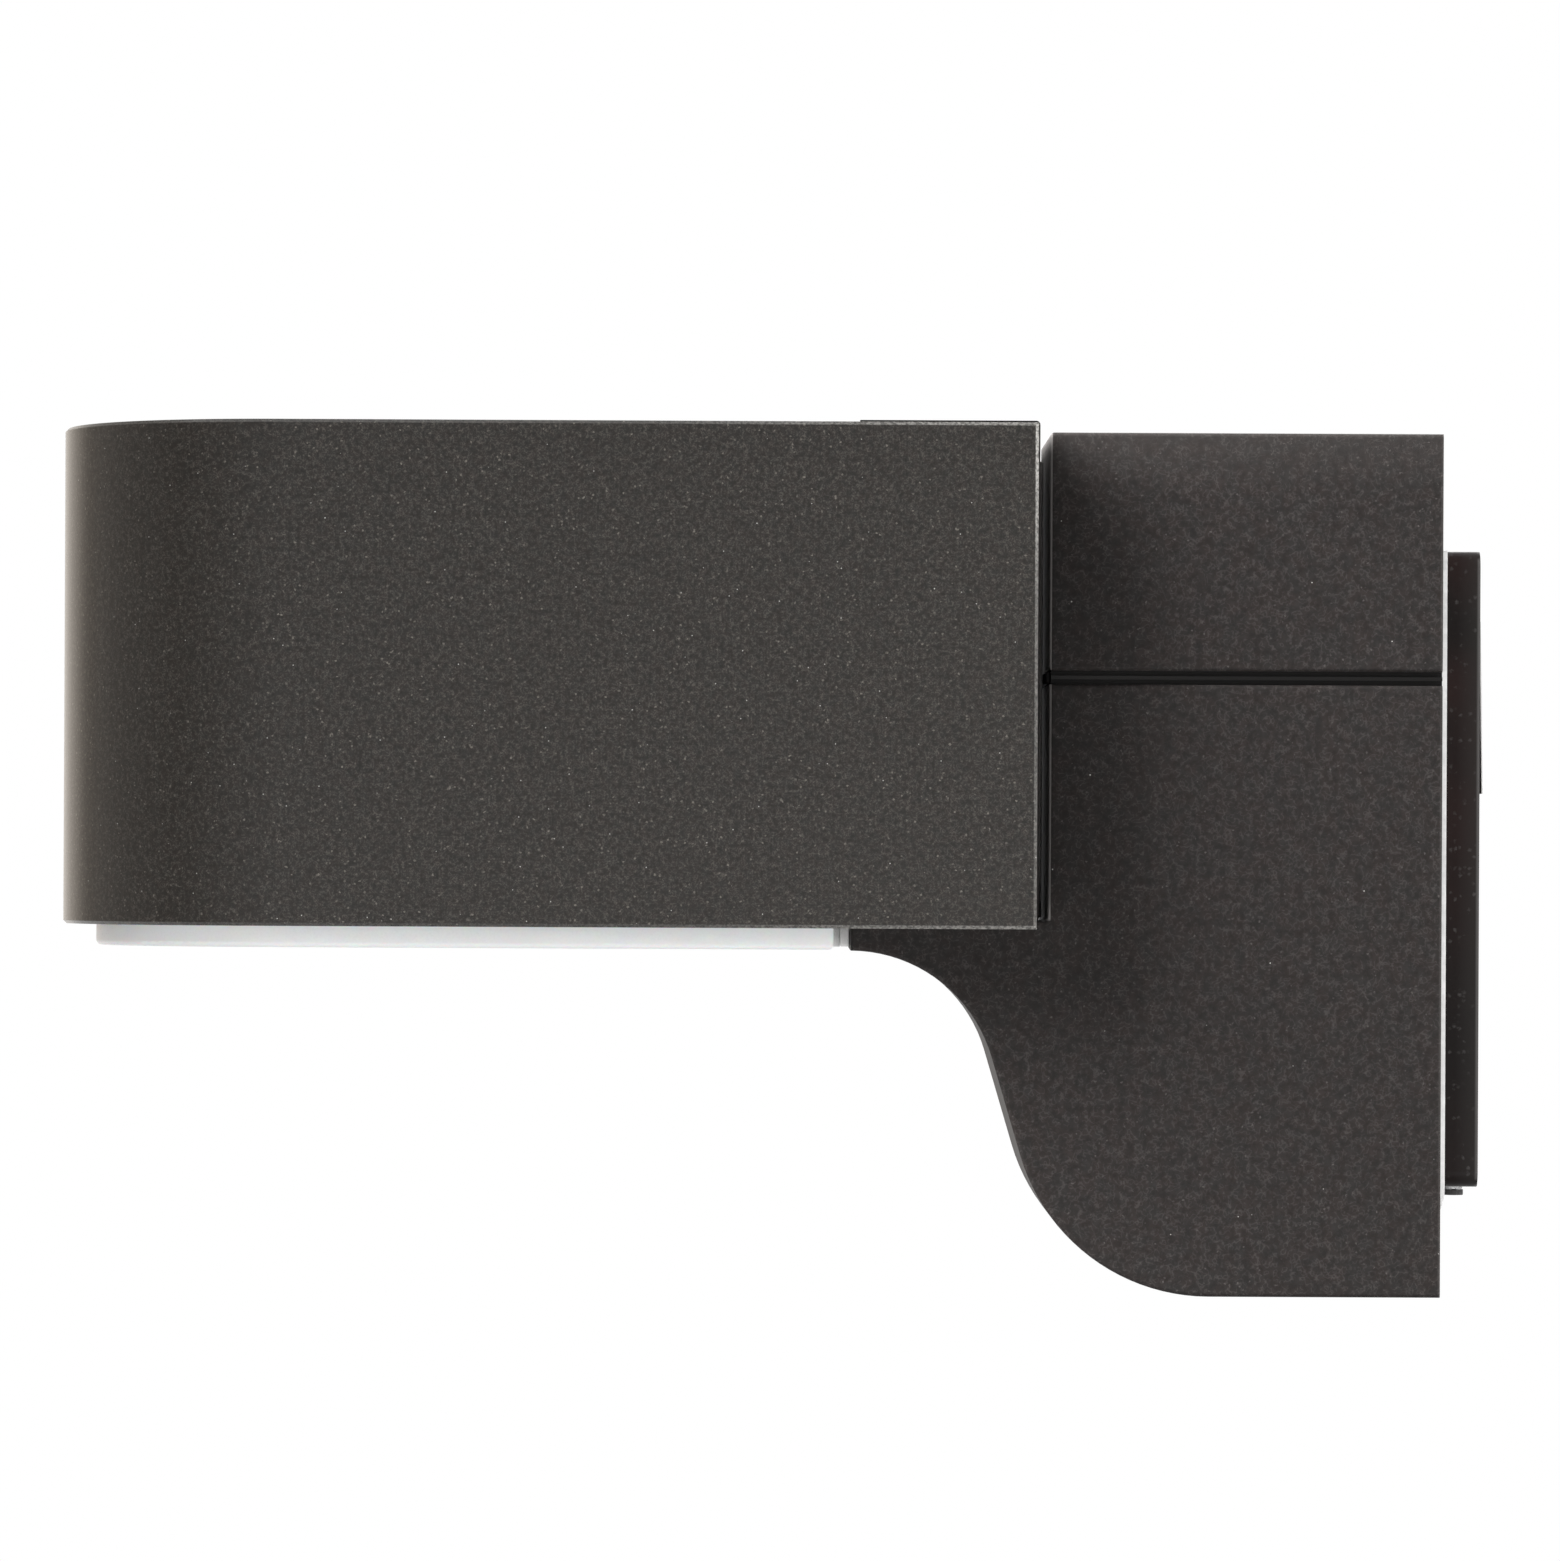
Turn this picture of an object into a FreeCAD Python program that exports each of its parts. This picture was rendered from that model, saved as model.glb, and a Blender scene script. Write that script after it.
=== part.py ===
"""Outdoor wall light: a wall plate, a two-piece cast bracket with an S-shaped arm, and a
horizontal U-shaped shade holding a screw-in lamp above an opal diffuser tray.

Millimetres. The wall is the plane X = 0, the shade points along -X, +Z is up and the origin
is the middle of the wall plate's back.
"""

import FreeCAD
import Part
import math
import os
import re

import Sketcher
from FreeCAD import Placement, Rotation, Vector

SIZES = {
    # Wall plate and the sheet behind the bracket
    "plate_margin": (21.6, "bracket beyond the wall plate, above and below"),
    "plate_width": (44.0, "wall plate, side to side"),
    "plate_thickness": (6.5, "wall plate, front to back"),
    "plate_floor": (1.8, "wall plate's web against the wall"),
    "plate_rim": (2.5, "wall plate's rim"),
    "plate_corner": (3.0, "wall plate's corner radius"),
    "wall_hole_margin": (14.9, "wall screw holes from the plate's ends"),
    "wall_hole_diameter": (5.0, "clearance hole for a wall screw"),
    "wall_boss_diameter": (11.0, "pad round a wall screw hole"),
    "wall_boss_height": (1.6, "pad's height above the web"),
    "cable_height": (22.0, "cable entry above the plate's middle"),
    "cable_bore": (8.0, "grommet's bore"),
    "grommet_wall": (2.4, "grommet between bore and plate"),
    "grommet_flange": (2.2, "grommet flange's overlap on the plate"),
    "grommet_flange_height": (1.6, "grommet flange's thickness"),
    "back_thickness": (1.0, "zinc sheet behind the bracket"),
    "back_width": (48.0, "zinc sheet, side to side"),
    "back_drop": (4.9, "zinc sheet below the wall plate"),
    "back_bevel": (3.6, "height of the sheet's bevelled foot"),
    "window_width": (22.0, "cable window in the sheet"),
    "window_height": (26.0, "cable window in the sheet"),
    "hook_width": (16.0, "tab under the wall plate's top rim"),
    "hook_reach": (3.4, "tabs' reach into the wall plate"),
    "lock_width": (8.0, "tab over a locking screw"),
    "lock_spacing": (24.0, "between the two locking screws"),
    "lock_diameter": (3.4, "locking screw"),
    "lock_length": (10.4, "locking screw"),
    "lock_proud": (1.7, "locking screw below the wall plate"),
    "lock_inset": (3.8, "locking screw's axis from the wall"),
    # Cast bracket
    "body_width": (52.0, "bracket, side to side"),
    "body_height": (165.0, "bracket, top to bottom"),
    "body_lift": (0.6, "bracket's middle above the wall plate's"),
    "body_wall": (3.5, "wall of the castings"),
    "body_edge": (0.8, "rounding of the bracket's edges"),
    "corner_round": (1.0, "rounding between platform and box"),
    "box_depth": (75.1, "bracket's box, wall side to front"),
    "cover_height": (45.5, "upper cover"),
    "cover_edge": (0.8, "rounding of the upper cover's edges"),
    "seam_height": (2.6, "groove between cover and arm casting"),
    "seam_depth": (1.6, "depth of that groove"),
    "bead_height": (0.7, "gasket's bead in the groove"),
    "bead_depth": (0.7, "gasket's bead behind the castings' sides"),
    "tip_height": (5.8, "arm at its tip"),
    "tip_setback": (1.3, "arm's tip behind the lamp block's front"),
    "platform_thickness": (4.0, "arm's top over its hollow"),
    "solid_tip": (16.0, "solid length of the arm behind its tip"),
    "neck_radius": (28.1, "hollow curve of the arm"),
    "neck_lean": (16.5, "arm's straight run from the vertical, degrees"),
    "heel_radius": (37.6, "round curve at the arm's foot"),
    "post_diameter": (8.0, "screw post in a casting"),
    "post_length": (14.0, "screw post in a casting"),
    "post_rib": (3.0, "rib from a post to the side wall"),
    "post_spacing": (26.0, "between two posts, side to side"),
    "upper_post_margin": (13.4, "upper posts below the plate's top"),
    "lower_post_margin": (17.4, "lower posts above the plate's foot"),
    "lug_size": (9.0, "screw lug in a front corner of the box"),
    "lug_height": (6.0, "screw lug of the arm casting"),
    "cover_lug_height": (13.0, "screw lug of the upper cover"),
    # Lamp block at the back of the shade
    "block_gap": (2.4, "between box and lamp block"),
    "block_length": (36.6, "lamp block with its front plate"),
    "block_wall": (3.0, "lamp block's wall"),
    "block_lift": (1.4, "block's foot above the shade's lower edge"),
    "block_rise": (0.45, "block's top above the shade's upper edge"),
    "block_overhang": (0.4, "block's back behind the shade"),
    "block_edge": (0.8, "rounding of the block's back edges"),
    "holder_plate_thickness": (2.5, "front plate that carries the lampholder"),
    "stem_width": (9.0, "screw stem in the lamp block"),
    "stem_foot_height": (22.0, "lower screw stems from the block's floor"),
    "arm_screw_spread": (30.0, "between arm screws, side to side"),
    "arm_screw_margin": (7.0, "arm screws from the block's ends"),
    "wire_hole": (9.0, "wire hole from arm to lamp block"),
    "wire_hole_setback": (11.2, "wire hole from the block's back"),
    "bush_wall": (1.1, "rubber bush between wires and castings"),
    "bush_flange": (1.8, "bush flange's overlap"),
    # Shade
    "shade_width": (87.0, "shade, side to side"),
    "shade_height": (95.7, "shade, top to bottom"),
    "shade_length": (187.6, "shade, nose to back edge"),
    "shade_rise": (0.9, "shade's top above the bracket"),
    "shade_wall": (3.0, "shade's wall"),
    "shade_edge": (0.6, "bevel along the shade's edges"),
    "stud_diameter": (4.0, "stud welded inside the shade"),
    "stud_length": (8.5, "stud welded inside the shade"),
    "stud_margin": (1.4, "lower stud nuts above the block's screw stems"),
    "upper_stud_margin": (3.7, "upper stud nuts below the block's screw stems"),
    "nut_width": (7.0, "stud nut across its flats"),
    "nut_height": (3.2, "stud nut"),
    "lid_recess": (1.0, "lid below the shade's upper edge"),
    "lid_thickness": (1.6, "lid's sheet"),
    "lid_skirt": (10.0, "lid, over its turned-down skirt"),
    # Diffuser and the frame above it
    "diffuser_inset": (6.4, "diffuser inside the shade's outer face"),
    "diffuser_drop": (4.1, "diffuser below the shade"),
    "diffuser_wall": (2.0, "diffuser's wall"),
    "diffuser_height": (18.4, "diffuser, top to bottom"),
    "diffuser_setback": (2.1, "diffuser in front of the lamp block"),
    "lip_height": (2.0, "diffuser's lip"),
    "lip_slack": (0.6, "diffuser's lip inside the shade"),
    "seal_height": (1.5, "silicone seal on the lip"),
    "seal_width": (4.2, "silicone seal on the lip"),
    "frame_height": (3.0, "frame over the seal"),
    "frame_width": (5.8, "frame over the seal"),
    "frame_back": (10.0, "frame's screw ears at the lamp block"),
    "catch_width": (24.0, "catch behind the diffuser"),
    "catch_height": (4.0, "catch behind the diffuser"),
    "catch_thickness": (1.4, "catch, front to back"),
    # Lampholder and lamp
    "lamp_height": (46.7, "lamp's axis above the shade's lower edge"),
    "holder_reach": (17.0, "lampholder in front of its plate"),
    "holder_length": (46.0, "lampholder"),
    "holder_radius": (18.0, "lampholder behind its plate"),
    "holder_neck": (20.0, "lampholder's threaded neck, radius"),
    "holder_shoulder": (3.0, "lampholder's shoulder, overlap and thickness"),
    "holder_depth": (27.0, "lampholder's socket"),
    "holder_foot": (3.0, "lampholder's terminal foot"),
    "ring_width": (6.0, "clamping ring"),
    "ring_height": (5.0, "clamping ring"),
    "shell_radius": (14.2, "lampholder's screw shell, outside"),
    "shell_wall": (0.6, "lampholder's screw shell"),
    "shell_length": (20.0, "lampholder's screw shell"),
    "contact_radius": (4.0, "contacts of lampholder and lamp"),
    "contact_height": (1.5, "contact of the lampholder"),
    "cap_radius": (13.1, "lamp's screw cap"),
    "button_height": (1.0, "lamp's contact and its insulator"),
    "insulator_radius": (8.5, "insulator round the lamp's contact"),
    "collar_radius": (14.0, "lamp's collar at the cap"),
    "collar_length": (37.5, "lamp's collar"),
    "globe_radius": (30.0, "lamp's globe"),
    "globe_offset": (14.0, "globe's middle beyond the collar"),
    "globe_wall": (1.5, "lamp's globe"),
    # Wiring
    "terminal_width": (27.0, "terminal block, side to side"),
    "terminal_height": (18.0, "terminal block, top to bottom"),
    "terminal_depth": (15.0, "terminal block from the sheet"),
    "terminal_top": (6.0, "terminal block's top above the plate's middle"),
    "terminal_pitch": (8.4, "between its poles"),
    "terminal_well": (4.4, "screw well"),
    "terminal_well_depth": (6.0, "screw well"),
    "wire_diameter": (1.8, "insulated wire"),
    "wire_bend": (3.0, "wire's bend radius"),
    "wire_pitch": (2.0, "between wires in the bush"),
    "wire_drop": (4.4, "wires below the arm's top inside"),
    "earth_height": (23.2, "earth screw above the arm's top inside"),
    # Fasteners and fits
    "screw_diameter": (3.5, "common screw"),
    "screw_head": (6.4, "common screw's head"),
    "screw_head_height": (2.2, "common screw's head"),
    "screw_length": (11.0, "common screw under its head"),
    "screw_crown": (4.5, "flat top of a common screw's head"),
    "arm_screw_length": (6.5, "arm screw under its head"),
    "earth_screw_length": (2.4, "earth screw under its head"),
    "terminal_screw_diameter": (2.6, "terminal screw"),
    "terminal_head": (4.0, "terminal screw's head"),
    "terminal_crown": (2.8, "flat top of a terminal screw's head"),
    "terminal_head_height": (1.7, "terminal screw's head"),
    "terminal_screw_length": (2.0, "terminal screw under its head"),
    "cross_width": (0.9, "cross recess"),
    "cross_depth": (1.1, "cross recess"),
    "fit_gap": (0.3, "gap between pieces that slip together"),
    "hole_slack": (0.15, "radial slack round a screw or a wire"),
    "lamp_slack": (0.1, "between the lamp's contact and the lampholder's"),
}

LEAN = "neck_lean * 1deg"

PLACES = {
    # Wall side of the bracket
    "body_rear": "-(plate_thickness + back_thickness)",
    "box_front": "body_rear - box_depth",
    "body_bottom": "body_lift - body_height / 2",
    "body_top": "body_lift + body_height / 2",
    "seam_top": "body_top - cover_height",
    "seam_bottom": "seam_top - seam_height",
    "inner_half": "body_width / 2 - body_wall",
    "box_inside": "box_front + body_wall",
    "lug_x": "box_inside + lug_size / 2",
    "lug_y": "inner_half - lug_size / 2",
    # Shade, lamp block and lamp
    "block_rear": "box_front - block_gap",
    "block_front": "block_rear - block_length",
    "block_face": "block_front + holder_plate_thickness",
    "shade_top": "body_top + shade_rise",
    "shade_bottom": "shade_top - shade_height",
    "block_bottom": "shade_bottom + block_lift",
    "block_top": "shade_top + block_rise",
    "block_floor": "block_bottom + block_wall",
    "shade_rear": "block_rear - block_overhang",
    "nose_x": "shade_rear - shade_length + shade_width / 2",
    "shade_inner": "shade_width / 2 - shade_wall",
    "head_inner": "shade_inner - fit_gap",
    "stem_y": "head_inner - block_wall - stem_width / 2",
    "stem_high": "block_top - block_wall - stem_width / 2",
    "lid_top": "shade_top - lid_recess",
    "stud_x": "(block_rear + block_face) / 2",
    "nut_point": "nut_width / sqrt(3)",
    "stud_low_z": "block_floor + stem_foot_height + stud_margin + nut_point",
    "stud_high_z": "stem_high - stem_width / 2 - upper_stud_margin - nut_point",
    "arm_screw_front": "block_face + arm_screw_margin",
    "arm_screw_rear": "block_rear - block_wall - arm_screw_margin + screw_head / 2",
    "wire_hole_x": "block_rear - wire_hole_setback",
    "diffuser_half": "shade_width / 2 - diffuser_inset",
    "diffuser_rear": "block_front - diffuser_setback",
    "diffuser_bottom": "shade_bottom - diffuser_drop",
    "lip_top": "diffuser_bottom + diffuser_height",
    "lip_half": "shade_inner - lip_slack",
    "lip_rear": "block_front - fit_gap",
    "frame_bottom": "lip_top + seal_height",
    "frame_screw_z": "frame_bottom + frame_height + screw_head / 2 + fit_gap",
    "lamp_axis": "shade_bottom + lamp_height",
    "holder_front": "block_front - holder_reach",
    "holder_rear": "holder_front + holder_length",
    "socket_end": "holder_front + holder_depth",
    "holder_bottom": "lamp_axis - holder_radius - holder_foot",
    "lamp_end": "socket_end - contact_height - lamp_slack",
    "cap_rear": "lamp_end - 2 * button_height",
    "cap_front": "holder_front - fit_gap",
    "collar_front": "cap_front - collar_length",
    "globe_x": "collar_front - globe_offset",
    "globe_mouth": "sqrt(globe_radius^2 - globe_offset^2)",
    "globe_mouth_inner": "sqrt((globe_radius - globe_wall)^2 - globe_offset^2)",
    # S-shaped arm: hollow curve at the tip, straight run, round curve at the foot
    "tip_x": "block_front + tip_setback",
    "tip_bottom": "block_bottom - tip_height",
    "neck_centre": "tip_bottom - neck_radius",
    "heel_centre": "body_bottom + heel_radius",
    "neck_end_x": f"tip_x + neck_radius * cos({LEAN})",
    "neck_end_z": f"neck_centre + neck_radius * sin({LEAN})",
    "heel_start_z": f"heel_centre - heel_radius * sin({LEAN})",
    "heel_start_x": f"neck_end_x + (neck_end_z - heel_start_z) * tan({LEAN})",
    "heel_x": f"heel_start_x + heel_radius * cos({LEAN})",
    "hollow_neck": "neck_radius + body_wall",
    "hollow_heel": "heel_radius - body_wall",
    "hollow_neck_x": f"tip_x + hollow_neck * cos({LEAN})",
    "hollow_neck_z": f"neck_centre + hollow_neck * sin({LEAN})",
    "hollow_heel_x": f"heel_x - hollow_heel * cos({LEAN})",
    "hollow_heel_z": f"heel_centre - hollow_heel * sin({LEAN})",
    "hollow_front": "tip_x + solid_tip",
    "hollow_front_z": "neck_centre + sqrt(hollow_neck^2 - solid_tip^2)",
    "hollow_roof": "block_bottom - platform_thickness",
    "hollow_bottom": "body_bottom + body_wall",
    # Wall plate, sheet and wiring
    "plate_top": "body_height / 2 - plate_margin",
    "pocket_top": "plate_top - plate_rim",
    "plate_front": "-plate_thickness",
    "wall_hole_z": "plate_top - wall_hole_margin",
    "upper_post_z": "plate_top - upper_post_margin",
    "lower_post_z": "lower_post_margin - plate_top",
    "grommet_radius": "cable_bore / 2 + grommet_wall",
    "lock_top": "-plate_top - lock_proud + lock_length",
    "terminal_front": "body_rear - terminal_depth",
    "terminal_bottom": "terminal_top - terminal_height",
    "well_x": "terminal_front + terminal_depth / 2",
    "bush_radius": "wire_hole / 2 - hole_slack",
    "wire_z": "hollow_roof - wire_drop",
    "terminal_exit": "terminal_bottom - 2 * wire_bend",
    "earth_z": "hollow_roof + earth_height",
}

doc = FreeCAD.newDocument("outdoor_wall_light")


def fill_sheet(name, rows):
    """A spreadsheet with one row for each named value: its name, the value and a note."""
    sheet = doc.addObject("Spreadsheet::Sheet", name)
    for row, (alias, text, note) in enumerate(rows, 1):
        sheet.set(f"A{row}", alias)
        sheet.set(f"B{row}", text)
        sheet.set(f"C{row}", note)
        sheet.setAlias(f"B{row}", alias)
    doc.recompute()
    return sheet


def spelled(formula):
    """A formula with the sheet's name put before each size or place that it names."""
    def with_sheet(match):
        name = match[0]
        sheet = "Sizes." if name in SIZES else "Places." if name in PLACES else ""
        return sheet + name
    return re.sub(r"[a-z][a-z_]+", with_sheet, formula)


sizes = fill_sheet("Sizes", [(name, str(size), note) for name, (size, note) in SIZES.items()])
places = fill_sheet("Places", [(name, "=" + spelled(text), "") for name, text in PLACES.items()])


def number(formula):
    """The present value of a formula over the sheets."""
    return float(places.evalExpression(spelled(formula)))


def bind(thing, prop, formula):
    """Ties a property to a formula over the sheets."""
    thing.setExpression(prop, spelled(formula))


def new_body(label):
    body = doc.addObject("PartDesign::Body", label)
    body.Label = label
    return body


def pin(sketch, kind, geometry, vertex, formula):
    """Ties one coordinate of a sketch point to a formula, or to the axis when that is 0."""
    if formula == "0":
        axis = -2 if kind == "DistanceX" else -1
        sketch.addConstraint(Sketcher.Constraint("PointOnObject", geometry, vertex, axis))
        return
    here = Sketcher.Constraint(kind, -1, 1, geometry, vertex, number(formula))
    bind(sketch, f"Constraints[{sketch.addConstraint(here)}]", formula)


def draw_circle(sketch, across, up, radius):
    middle = Vector(number(across), number(up), 0)
    circle = sketch.addGeometry(Part.Circle(middle, Vector(0, 0, 1), number(radius)), False)
    pin(sketch, "DistanceX", circle, 3, across)
    pin(sketch, "DistanceY", circle, 3, up)
    size = sketch.addConstraint(Sketcher.Constraint("Radius", circle, number(radius)))
    bind(sketch, f"Constraints[{size}]", radius)


def draw_outline(sketch, corners):
    """A closed outline through corners (across, up). A corner (across, up, middle across,
    middle up, turn) is reached by an arc round that middle, turning "left" or "right"."""
    ends = []
    for before, corner in zip([corners[-1]] + corners[:-1], corners):
        start = Vector(number(before[0]), number(before[1]), 0)
        end = Vector(number(corner[0]), number(corner[1]), 0)
        if len(corner) == 2:
            ends.append((sketch.addGeometry(Part.LineSegment(start, end), False), 1, 2))
            continue
        middle = Vector(number(corner[2]), number(corner[3]), 0)
        circle = Part.Circle(middle, Vector(0, 0, 1), (end - middle).Length)
        first, last = (start, end) if corner[4] == "left" else (end, start)
        arc = Part.ArcOfCircle(circle, circle.parameter(first), circle.parameter(last))
        geometry = sketch.addGeometry(arc, False)
        ends.append((geometry, 1, 2) if corner[4] == "left" else (geometry, 2, 1))
    for index, corner in enumerate(corners):
        geometry, _, arrive = ends[index]
        following, leave, _ = ends[(index + 1) % len(ends)]
        meet = Sketcher.Constraint("Coincident", geometry, arrive, following, leave)
        sketch.addConstraint(meet)
        pin(sketch, "DistanceX", geometry, arrive, corner[0])
        pin(sketch, "DistanceY", geometry, arrive, corner[1])
        if len(corner) == 5:
            pin(sketch, "DistanceX", geometry, 3, corner[2])


def new_sketch(body, plane, outlines=(), circles=(), lift="0", rise="0"):
    """A sketch on one of the body's planes, lifted along the plane's normal by one formula
    and raised in the plane by another."""
    sketch = body.newObject("Sketcher::SketchObject", body.Label + "_outline")
    support = [feature for feature in body.Origin.OriginFeatures if feature.Role == plane]
    sketch.AttachmentSupport = [(support[0], "")]
    sketch.MapMode = "FlatFace"
    bind(sketch, "AttachmentOffset.Base.z", lift)
    bind(sketch, "AttachmentOffset.Base.y", rise)
    for outline in outlines:
        draw_outline(sketch, outline)
    for circle in circles:
        draw_circle(sketch, *circle)
    doc.recompute()
    return sketch


def extrude(body, kind, sketch, length, way="along"):
    """A pad or pocket of a sketch: along its normal, against it, or to both sides."""
    feature = body.newObject("PartDesign::" + kind, body.Label + "_" + kind.lower())
    feature.Profile = sketch
    bind(feature, "Length", length)
    if way == "both":
        feature.SideType = "Symmetric"
    else:
        feature.Reversed = (way == "against") == (kind == "Pad")
    doc.recompute()
    return feature


def pad(body, sketch, length, way="along"):
    return extrude(body, "Pad", sketch, length, way)


def pocket(body, sketch, length, way="along"):
    return extrude(body, "Pocket", sketch, length, way)


def turn(body, outline, rise="0", axis="H_Axis"):
    """A solid of revolution of an outline in the XZ plane, about a line along X at a height,
    or about Z."""
    sketch = new_sketch(body, "XZ_Plane", [outline], rise=rise)
    feature = body.newObject("PartDesign::Revolution", body.Label + "_turned")
    feature.Profile = sketch
    feature.ReferenceAxis = (sketch, [axis])
    feature.Angle = 360
    doc.recompute()
    return feature


def edges_where(feature, wanted):
    """Names of the feature's edges whose two ends and middle all meet a condition."""
    names = []
    for index, edge in enumerate(feature.Shape.Edges, 1):
        middle = edge.valueAt((edge.FirstParameter + edge.LastParameter) / 2)
        points = [vertex.Point for vertex in edge.Vertexes] + [middle]
        if all(wanted(point) for point in points):
            names.append(f"Edge{index}")
    return names


def soften(body, feature, names, size, kind="Fillet"):
    """Rounds or bevels the named edges of the body's last feature."""
    finish = body.newObject("PartDesign::" + kind, body.Label + "_" + kind.lower())
    finish.Base = (feature, names)
    bind(finish, "Radius" if kind == "Fillet" else "Size", size)
    doc.recompute()
    return finish


def near(value, formula):
    """Whether a coordinate lies on the place that a formula gives."""
    return abs(value - number(formula)) < 1e-4


def rectangle(left, right, bottom, top):
    return [(left, bottom), (right, bottom), (right, top), (left, top)]


def nose_outline(half, rear):
    """The shade's plan at a half width: straight sides and a half-round nose."""
    return [(rear, f"-({half})"), ("nose_x", f"-({half})"),
            ("nose_x", half, "nose_x", "0", "right"), (rear, half)]


def rounded_rectangle(half_width, half_height, corner):
    """A rectangle round the sketch's origin with rounded corners."""
    wide, tall = f"({half_width} - {corner})", f"({half_height} - {corner})"
    return [(wide, f"-{half_height}"),
            (half_width, f"-{tall}", wide, f"-{tall}", "left"),
            (half_width, tall),
            (wide, half_height, wide, tall, "left"),
            (f"-{wide}", half_height),
            (f"-{half_width}", tall, f"-{wide}", tall, "left"),
            (f"-{half_width}", f"-{tall}"),
            (f"-{wide}", f"-{half_height}", f"-{wide}", f"-{tall}", "left")]


def both_sides(across, *rest):
    """A circle and its mirror image, for a sketch whose first axis runs side to side."""
    return [(across, *rest), (f"-({across})", *rest)]


# Fasteners

def new_screw(name, diameter, head, crown, head_height, length):
    """A pan-head screw with a cross recess, its head above the plane Z = 0."""
    body = new_body(name)
    shank, rim = f"{diameter} / 2", f"{head} / 2"
    turn(body, [("0", f"-{length}"), (shank, f"-{length}"), (shank, "0"), (rim, "0"),
                (rim, f"{head_height} / 2"), (f"{crown} / 2", head_height),
                ("0", head_height)], axis="V_Axis")
    long, short = f"{head} / 4", "cross_width / 2"
    cross = [(long, f"-{short}"), (long, short), (short, short), (short, long),
             (f"-{short}", long), (f"-{short}", short), (f"-{long}", short),
             (f"-{long}", f"-{short}"), (f"-{short}", f"-{short}"), (f"-{short}", f"-{long}"),
             (short, f"-{long}"), (short, f"-{short}")]
    pocket(body, new_sketch(body, "XY_Plane", [cross], lift=head_height), "cross_depth", "against")
    return body


def copies(label, master, spots, turned=Rotation()):
    """One node of identical pieces: copies of a master at spots (x, y, z), all turned alike."""
    links = []
    for spot in spots:
        link = doc.addObject("App::Link", label + "_copy")
        link.LinkedObject = master
        link.Placement = Placement(Vector(), turned)
        for axis, formula in zip("xyz", spot):
            bind(link, f"Placement.Base.{axis}", formula)
        links.append(link)
    group = doc.addObject("Part::Compound", label)
    group.Label = label
    group.Links = links
    return group


HEAD_TO_WALL = Rotation(Vector(0, 1, 0), 90)
HEAD_TO_FRONT = Rotation(Vector(0, 1, 0), -90)


def new_pan_head(name, length):
    return new_screw(name, "screw_diameter", "screw_head", "screw_crown", "screw_head_height",
                     length)


common_screw = new_pan_head("common_screw", "screw_length")


# Wall plate: black moulding, open towards the bracket, with pads round its wall screw holes

def build_wall_plate():
    body = new_body("wall_plate")
    outer = rounded_rectangle("plate_width / 2", "plate_top", "plate_corner")
    pad(body, new_sketch(body, "YZ_Plane", [outer]), "plate_thickness", "against")
    inner = rounded_rectangle("(plate_width / 2 - plate_rim)", "pocket_top", "plate_corner / 2")
    pocket(body, new_sketch(body, "YZ_Plane", [inner], lift="plate_front"),
           "plate_thickness - plate_floor")
    holes = [("0", "wall_hole_z"), ("0", "-wall_hole_z")]
    pads = [(*hole, "wall_boss_diameter / 2") for hole in holes]
    pad(body, new_sketch(body, "YZ_Plane", circles=pads, lift="-plate_floor"),
        "wall_boss_height", "against")
    drilled = [(*hole, "wall_hole_diameter / 2") for hole in holes]
    drilled.append(("0", "cable_height", "grommet_radius + hole_slack"))
    pocket(body, new_sketch(body, "YZ_Plane", circles=drilled), "plate_thickness", "against")
    locks = [("-lock_inset", across, "lock_diameter / 2 + hole_slack")
             for across in ("lock_spacing / 2", "-lock_spacing / 2")]
    pocket(body, new_sketch(body, "XY_Plane", circles=locks, lift="-plate_top"), "plate_rim")
    return body


# Grommet: rubber ring in the wall plate's cable hole, its flange on the bracket's side

def build_grommet():
    body = new_body("cable_grommet")
    bore, flange = "cable_bore / 2", "grommet_radius + grommet_flange"
    front = "-(plate_floor + grommet_flange_height)"
    turn(body, [("0", bore), ("0", "grommet_radius"), ("-plate_floor", "grommet_radius"),
                ("-plate_floor", flange), (front, flange), (front, bore)], rise="cable_height")
    return body


# Back plate: zinc-plated sheet screwed to both castings; its tabs lock into the wall plate

def build_back_plate():
    body = new_body("back_plate")
    foot = "-(plate_top + back_drop)"
    section = [("plate_front", "plate_top"), ("body_rear", "plate_top"), ("body_rear", foot),
               ("plate_front", f"{foot} + back_bevel")]
    pad(body, new_sketch(body, "XZ_Plane", [section]), "back_width", "both")
    hook = rectangle("-hook_width / 2", "hook_width / 2", "pocket_top - back_thickness",
                     "pocket_top")
    locks = [rectangle(f"{side} - lock_width / 2", f"{side} + lock_width / 2", "lock_top",
                       "lock_top + back_thickness")
             for side in ("lock_spacing / 2", "-lock_spacing / 2")]
    pad(body, new_sketch(body, "YZ_Plane", [hook] + locks, lift="plate_front"), "hook_reach")
    window = rectangle("-window_width / 2", "window_width / 2",
                       "cable_height - window_height / 2", "cable_height + window_height / 2")
    holes = []
    for height in ("upper_post_z", "lower_post_z"):
        holes += both_sides("post_spacing / 2", height, "screw_diameter / 2 + hole_slack")
    pocket(body, new_sketch(body, "YZ_Plane", [window], holes, lift="plate_front"),
           "back_thickness", "against")
    return body


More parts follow.
